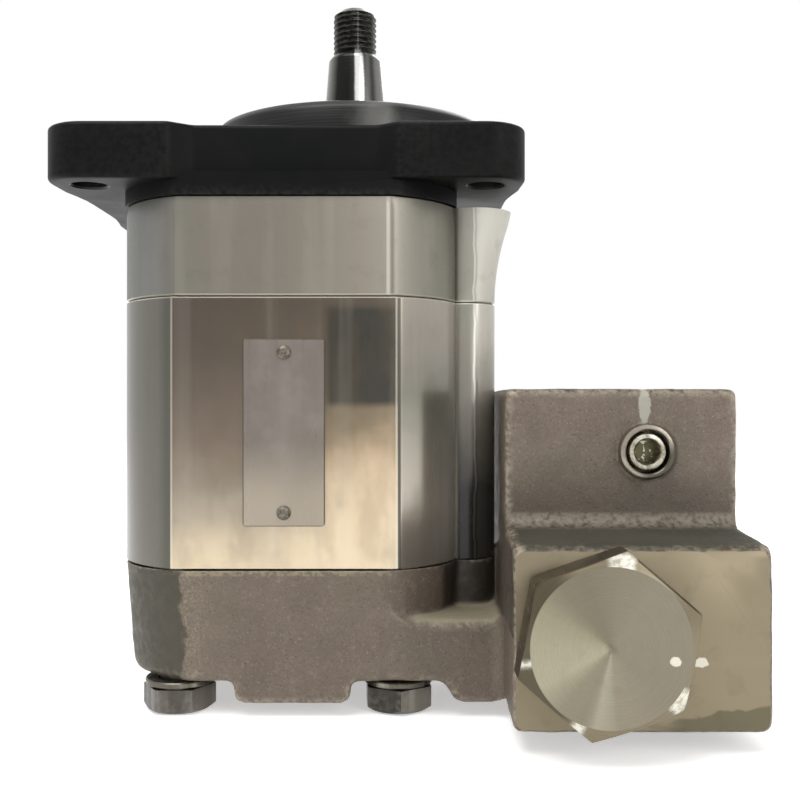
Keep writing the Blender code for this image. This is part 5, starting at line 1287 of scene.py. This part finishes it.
def faced_plug(tree):
    place = on_pump(tree)
    x, y, z = split(place)
    off_x, off_z = minus(x, VALVE_X), minus(z, VALVE_Z)
    reach = distance(off_x, off_z)
    angle = calc("ARCTAN2", off_z, off_x)
    rings = rings_along(reach, 3000.0, 4.0)
    fan = clouds(vector(calc("COSINE", angle), calc("SINE", angle)), 4.0, 4.0, 0.6)
    swing = wavering(angle, fan, 0.30)
    # The face's fan of light is a painted sheen that changes round the centre.
    face = gradient(swing, (-3.15, 148, 143, 122), (-2.65, 154, 148, 127), (-2.25, 128, 122, 104),
                    (-1.95, 124, 118, 100), (-1.75, 150, 145, 127), (-1.45, 132, 125, 108),
                    (-0.70, 124, 117, 101), (0.10, 124, 118, 102), (0.90, 124, 118, 103),
                    (1.45, 120, 113, 97), (1.95, 112, 105, 89), (2.30, 114, 108, 91), (2.65, 136, 131, 109),
                    (3.15, 148, 143, 122))
    face = over(face, (96, 90, 74), rising(rings, 0.35, 0.75, 0.0, 0.07))
    face = over(face, (92, 88, 76), rising(reach, 0.0016, 0.0004, 0.0, 0.5))
    dot = dab(place, 0.0709, 0.0233, 0.0014, 0.0012)
    face = over(face, MARKING_PAINT, dot)
    # The hexagon's upper-left flats are painted darker, as shade.
    flat = calc("COSINE", minus(angle, 2.5))
    sides = gradient(flat, (-1.0, 126, 118, 98), (0.0, 116, 108, 88), (0.5, 80, 73, 56), (1.0, 58, 52, 38))
    on_face = times(rising(y, -0.0800, -0.0801), rising(reach, 0.01735, 0.01715))
    slope = times(rising(y, -0.0782, -0.0790), rising(reach, 0.0171, 0.0173))
    glints = band(angle, 1.30, 1.60, 0.10)
    for low, high in ((-0.80, -0.50), (-2.05, -1.90), (-2.99, -2.92)):
        glints = largest(glints, band(angle, low, high, 0.09))
    glints = times(glints, rising(clouds(place, 900.0), 0.36, 0.56, 0.45, 1.0))
    out_right = calc("MULTIPLY_ADD", off_x, math.cos(0.862), times(off_z, math.sin(0.862)))
    left_side = rising(calc("ABSOLUTE", angle), 1.9, 2.3, 0.0, 0.75)
    shadowed = largest(rising(out_right, 0.01750, 0.01765), left_side)
    chamfer = over((124, 114, 93), (62, 57, 43), shadowed)
    chamfer = over(chamfer, (216, 213, 200), glints)
    colour = over(sides, chamfer, slope)
    colour = over(colour, face, on_face)
    smears = clouds(place, 260.0, 4.0)
    colour = over(colour, (98, 92, 74), rising(smears, 0.50, 0.80, 0.0, 0.16))
    return coat(colour, sheen(rings, 0.27, 0.34), rings)


plug_steel = finish("faced_plug_steel", faced_plug, metallic=0.7, bump=0.05, depth=0.00002)
corner = PLUG_FLATS / 2 / math.cos(math.pi / 6)
profile = [(0.0, -0.0160), (0.0120, -0.0160), (0.0130, -0.0150), (0.0130, -0.0030), (0.0127, -0.0027),
           (0.0127, 0.0003), (0.0165, 0.0003), (0.0176, 0.0006), (corner + 0.0002, 0.0016),
           (corner + 0.0002, PLUG_HIGH - 0.0020), (0.0174, PLUG_HIGH - 0.0001), (0.0172, PLUG_HIGH),
           (0.0008, PLUG_HIGH), (0.0, PLUG_HIGH - 0.00008)]
where = facing(OUT_FRONT, VALVE_X, LOWER_FRONT, VALVE_Z)
plug = shape("priority_valve_plug", turned(profile, 144), plug_steel, where=where)
upright_turn = math.pi / 2 - math.radians(10.6)
in_front = Matrix.Translation((VALVE_X, LOWER_FRONT, VALVE_Z)) @ Matrix.Rotation(math.pi / 2, 4, "X")
combined(plug, shape("flats", hexagon(PLUG_FLATS, -0.020, 0.020, upright_turn), plug_steel, where=in_front),
         "INTERSECT")
soften = plug.modifiers.new("broken_edges", "BEVEL")
soften.width, soften.segments = 0.00012, 1
soften.limit_method, soften.angle_limit = "ANGLE", math.radians(50)
settled(plug)
assembled(plug, "pump", "bright_steel", "valve_plug", crease=22.0)


# ---------------------------------------------------------------- relief valve collar and screw
# The relief valve's setting screw sits in a turned steel collar. It has a hexagon socket, and a
# tongue of marking paint runs from the casting over the collar to show if it was turned.

COLLAR_OUT, COLLAR_IN, COLLAR_TOP = 0.00675, 0.00536, 0.0030
SCREW_RADIUS, SCREW_TOP, SOCKET_RADIUS = 0.00455, 0.0026, 0.0033


def turned_collar(tree):
    place = on_pump(tree)
    x, y, z = split(place)
    rings = clouds(drawn_out(place, (400.0, 2600.0, 400.0)), 1.0, 3.0)
    # The collar is painted darker towards its lower right, as shade.
    off = plus(minus(x, RELIEF_X), minus(RELIEF_Z, z))
    colour = over((150, 142, 129), (80, 75, 65), rising(off, 0.002, 0.007))
    colour = over(colour, (92, 88, 78), rising(rings, 0.5, 0.7, 0.0, 0.4))
    return coat(colour, sheen(rings, 0.22, 0.36), rings)


def socket_screw(tree):
    place = on_pump(tree)
    x, y, z = split(place)
    off_x, off_z = minus(x, RELIEF_X), minus(z, RELIEF_Z)
    reach = distance(off_x, off_z)
    rough = clouds(place, 1300.0, 4.0)
    colour = over((128, 122, 106), (186, 180, 164), rising(rough, 0.35, 0.65))
    # The hexagon socket is painted dark as shade, with painted sparkles of light in it.
    colour = over(colour, (88, 84, 62), rising(reach, 0.0034, 0.0030))
    sparkle = times(rising(reach, 0.0028, 0.0022), rising(clouds(place, 900.0, 2.0), 0.56, 0.62))
    colour = over(colour, (224, 220, 206), sparkle, 0.7)
    edge = times(rising(off_z, 0.0026, 0.0034), rising(clouds(place, 700.0), 0.42, 0.54))
    colour = over(colour, MARKING_PAINT, edge)
    return coat(colour, sheen(rough, 0.25, 0.42), rough)


collar_steel = finish("turned_collar_steel", turned_collar, metallic=0.85, bump=0.15, depth=0.00003)
screw_steel = finish("socket_screw_steel", socket_screw, metallic=0.8, bump=0.3, depth=0.00004)
where = facing(OUT_FRONT, RELIEF_X, UPPER_FRONT, RELIEF_Z)
profile = [(COLLAR_IN, -0.0057), (COLLAR_OUT, -0.0057), (COLLAR_OUT, COLLAR_TOP - 0.0006),
           (COLLAR_OUT - 0.0002, COLLAR_TOP - 0.0002), (COLLAR_OUT - 0.0006, COLLAR_TOP),
           (COLLAR_IN + 0.0003, COLLAR_TOP), (COLLAR_IN, COLLAR_TOP - 0.0003)]
collar = shape("relief_collar_ring", turned(profile, 96), collar_steel, where=where)
assembled(collar, "pump", "bright_steel", "relief_collar")
profile = [(0.0, -0.0120), (0.0038, -0.0120), (SCREW_RADIUS, -0.0112), (SCREW_RADIUS, SCREW_TOP - 0.0006),
           (SCREW_RADIUS - 0.0002, SCREW_TOP - 0.0002), (SCREW_RADIUS - 0.0006, SCREW_TOP),
           (0.0, SCREW_TOP)]
setting = shape("relief_setting_screw", turned(profile, 72), screw_steel, where=where)
in_front = Matrix.Translation((RELIEF_X, UPPER_FRONT, RELIEF_Z)) @ Matrix.Rotation(math.pi / 2, 4, "X")
combined(setting, shape("socket", hexagon(SOCKET_RADIUS * 2 * math.cos(math.pi / 6), SCREW_TOP - 0.0045,
                                          SCREW_TOP + 0.001), screw_steel, where=in_front))
lead = [(0.0, SCREW_TOP - 0.0008), (0.0029, SCREW_TOP - 0.0006), (0.0035, SCREW_TOP + 0.0001),
        (0.0035, SCREW_TOP + 0.001), (0.0, SCREW_TOP + 0.001)]
combined(setting, shape("socket_lead", turned(lead, 48), screw_steel, where=where))
assembled(setting, "relief_screw", "dark_steel", "relief_screw", crease=28.0)


# ---------------------------------------------------------------- inner pieces
# Gears, bearing blocks, bushes, ball bearing, dowels, circlips, valve parts and seals keep the
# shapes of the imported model. Each gets the finish of the metal or rubber that it is made of.


def pressed_rubber(tree):
    place = on_pump(tree)
    bloom = clouds(place, 380.0, 4.0)
    colour = over((22, 22, 22), (46, 46, 45), rising(bloom, 0.35, 0.70))
    return coat(colour, sheen(bloom, 0.55, 0.78), clouds(place, 2200.0, 3.0))


def blued_spring(tree):
    place = on_pump(tree)
    heat = clouds(place, 260.0, 3.0)
    colour = over((74, 76, 84), (108, 106, 108), rising(heat, 0.35, 0.66))
    return coat(colour, sheen(heat, 0.28, 0.42), clouds(place, 2600.0, 3.0))


rubber = finish("seal_rubber", pressed_rubber, bump=0.2, depth=0.00003)
spring_steel = finish("blued_spring_steel", blued_spring, metallic=0.9, bump=0.15, depth=0.00002)
bronze = tooled("bearing_bronze", (176, 140, 92), (300.0, 300.0, 1900.0), 0.25, (104, 78, 48), 0.35,
                metallic=0.95, bump=0.15, depth=0.00003)
alloy = tooled("bearing_block_alloy", (160, 158, 150), (900.0, 900.0, 260.0), 0.22, (98, 95, 86), 0.25,
               metallic=0.85, bump=0.15, depth=0.00003)
inner_finishes = (
    (ground_steel, "driven_gear bearing_inner_ring bearing_outer_ring priority_spool relief_poppet"),
    (ground_steel, "dowel_pin_1 dowel_pin_2 dowel_pin_3 dowel_pin_4"),
    (bronze, "journal_bush_1 journal_bush_2 journal_bush_3 journal_bush_4 bearing_ball_cage"),
    (alloy, "bearing_block_rear bearing_block_front"),
    (spring_steel, "shaft_circlip seal_circlip"),
    (rubber, "shaft_seal flange_seal plug_seal"),
    (rubber, "body_seal_rear body_seal_front block_seal_rear block_seal_front"),
    (washer_steel, "woodruff_key"),
    (head_steel, "relief_spring_seat"),
    (collar_steel, "relief_seat"),
)
for material, names in inner_finishes:
    for name in names.split():
        for material_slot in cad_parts[name].material_slots:
            material_slot.material = material


# ---------------------------------------------------------------- valve springs
# The spool spring rides on the pump. The relief spring is cut at its middle: the rear half
# rides on the pump, and the front half rides on no body.


def spring_half(name, middle, side):
    """The relief spring's turns on one side of its middle, with the cut wire closed."""
    bm = node_copy("relief_spring")
    everything = list(bm.verts) + list(bm.edges) + list(bm.faces)
    bmesh.ops.bisect_plane(bm, geom=everything, plane_co=(0, middle - SHAFT_AXIS.y, 0),
                           plane_no=(0, -side, 0), clear_outer=True)
    bmesh.ops.holes_fill(bm, edges=[edge for edge in bm.edges if edge.is_boundary], sides=0)
    return shape(name, bm, spring_steel)


low, high = (corner[1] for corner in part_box("spool_spring"))
spring = assembled(shape("spool_coil_spring", node_copy("spool_spring"), spring_steel), "pump",
                   "spring_steel", "spool_spring")
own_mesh(spring)

low, high = (corner[1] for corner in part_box("relief_spring"))
middle = (low + high) / 2
rear = assembled(spring_half("relief_spring_rear_half", middle, 1), "pump", "spring_steel", "relief_spring")
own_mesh(rear)
front = assembled(spring_half("relief_spring_front_half", middle, -1), None, "spring_steel",
                  "relief_spring")
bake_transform(front)


# ---------------------------------------------------------------- floor, light and camera
# The floor and the white background, three soft lamps, and the camera that took the photograph.

STAND = 1.6


def ground(tree):
    speck = clouds(on_pump(tree), 3.0, 2.0)
    colour = over((246, 246, 245), (250, 250, 249), speck)
    return {"Base Color": colour, "Roughness": sheen(speck, 0.85, 0.9)}


def seen_directly(tree):
    """1 for the camera's own rays and what it sees mirrored, 0 for the light on other things."""
    path = tree.nodes.new("ShaderNodeLightPath").outputs
    return largest(path["Is Camera Ray"], path["Is Glossy Ray"], path["Is Transmission Ray"])


floor_white = finish("studio_floor", ground)
tree = floor_white.node_tree
sockets = tree.nodes["Principled BSDF"].inputs
tree.links.new(times(seen_directly(tree), 0.46), sockets["Emission Strength"])
sockets["Emission Color"].default_value = (1.0, 1.0, 1.0, 1.0)
floor = shape("studio_floor", box_shape((-STAND, -STAND, -0.004), (STAND, STAND, -0.0002)), floor_white)

world = bpy.data.worlds.new("studio")
bpy.context.scene.world = world
world.use_nodes = True
tree = world.node_tree
sockets = tree.nodes["Background"].inputs
sockets["Color"].default_value = (1.0, 1.0, 1.0, 1.0)
tree.links.new(rising(seen_directly(tree), 0.0, 1.0, 0.62, 1.0), sockets["Strength"])


def soft_lamp(name, x, y, z, size, power, aim=(0.0, 0.0, 0.08)):
    lamp = bpy.data.lights.new(name, "AREA")
    lamp.shape, lamp.size, lamp.energy = "DISK", size, power
    item = bpy.data.objects.new(name, lamp)
    item.location = (x, y, z)
    item.rotation_euler = (Vector(aim) - Vector((x, y, z))).to_track_quat("-Z", "Y").to_euler()
    bpy.context.scene.collection.objects.link(item)


soft_lamp("top_lamp", -0.25, -0.35, 0.95, 0.7, 5.8)
soft_lamp("right_lamp", 0.60, -0.75, 0.45, 0.6, 2.2)
soft_lamp("back_lamp", 0.10, 0.85, 0.70, 0.6, 3.2)

camera_data = bpy.data.cameras.new("camera")
camera_data.sensor_width, camera_data.lens, camera_data.clip_start = 36.0, 47.03, 0.01
camera = bpy.data.objects.new("camera", camera_data)
camera.location = (0.0129 + SHAFT_AXIS.x, -0.300 + SHAFT_AXIS.y, 0.0784)
camera.rotation_euler = (math.pi / 2, 0.0, 0.0)
bpy.context.scene.collection.objects.link(camera)
bpy.context.scene.camera = camera
bpy.context.scene.view_settings.view_transform = "Standard"
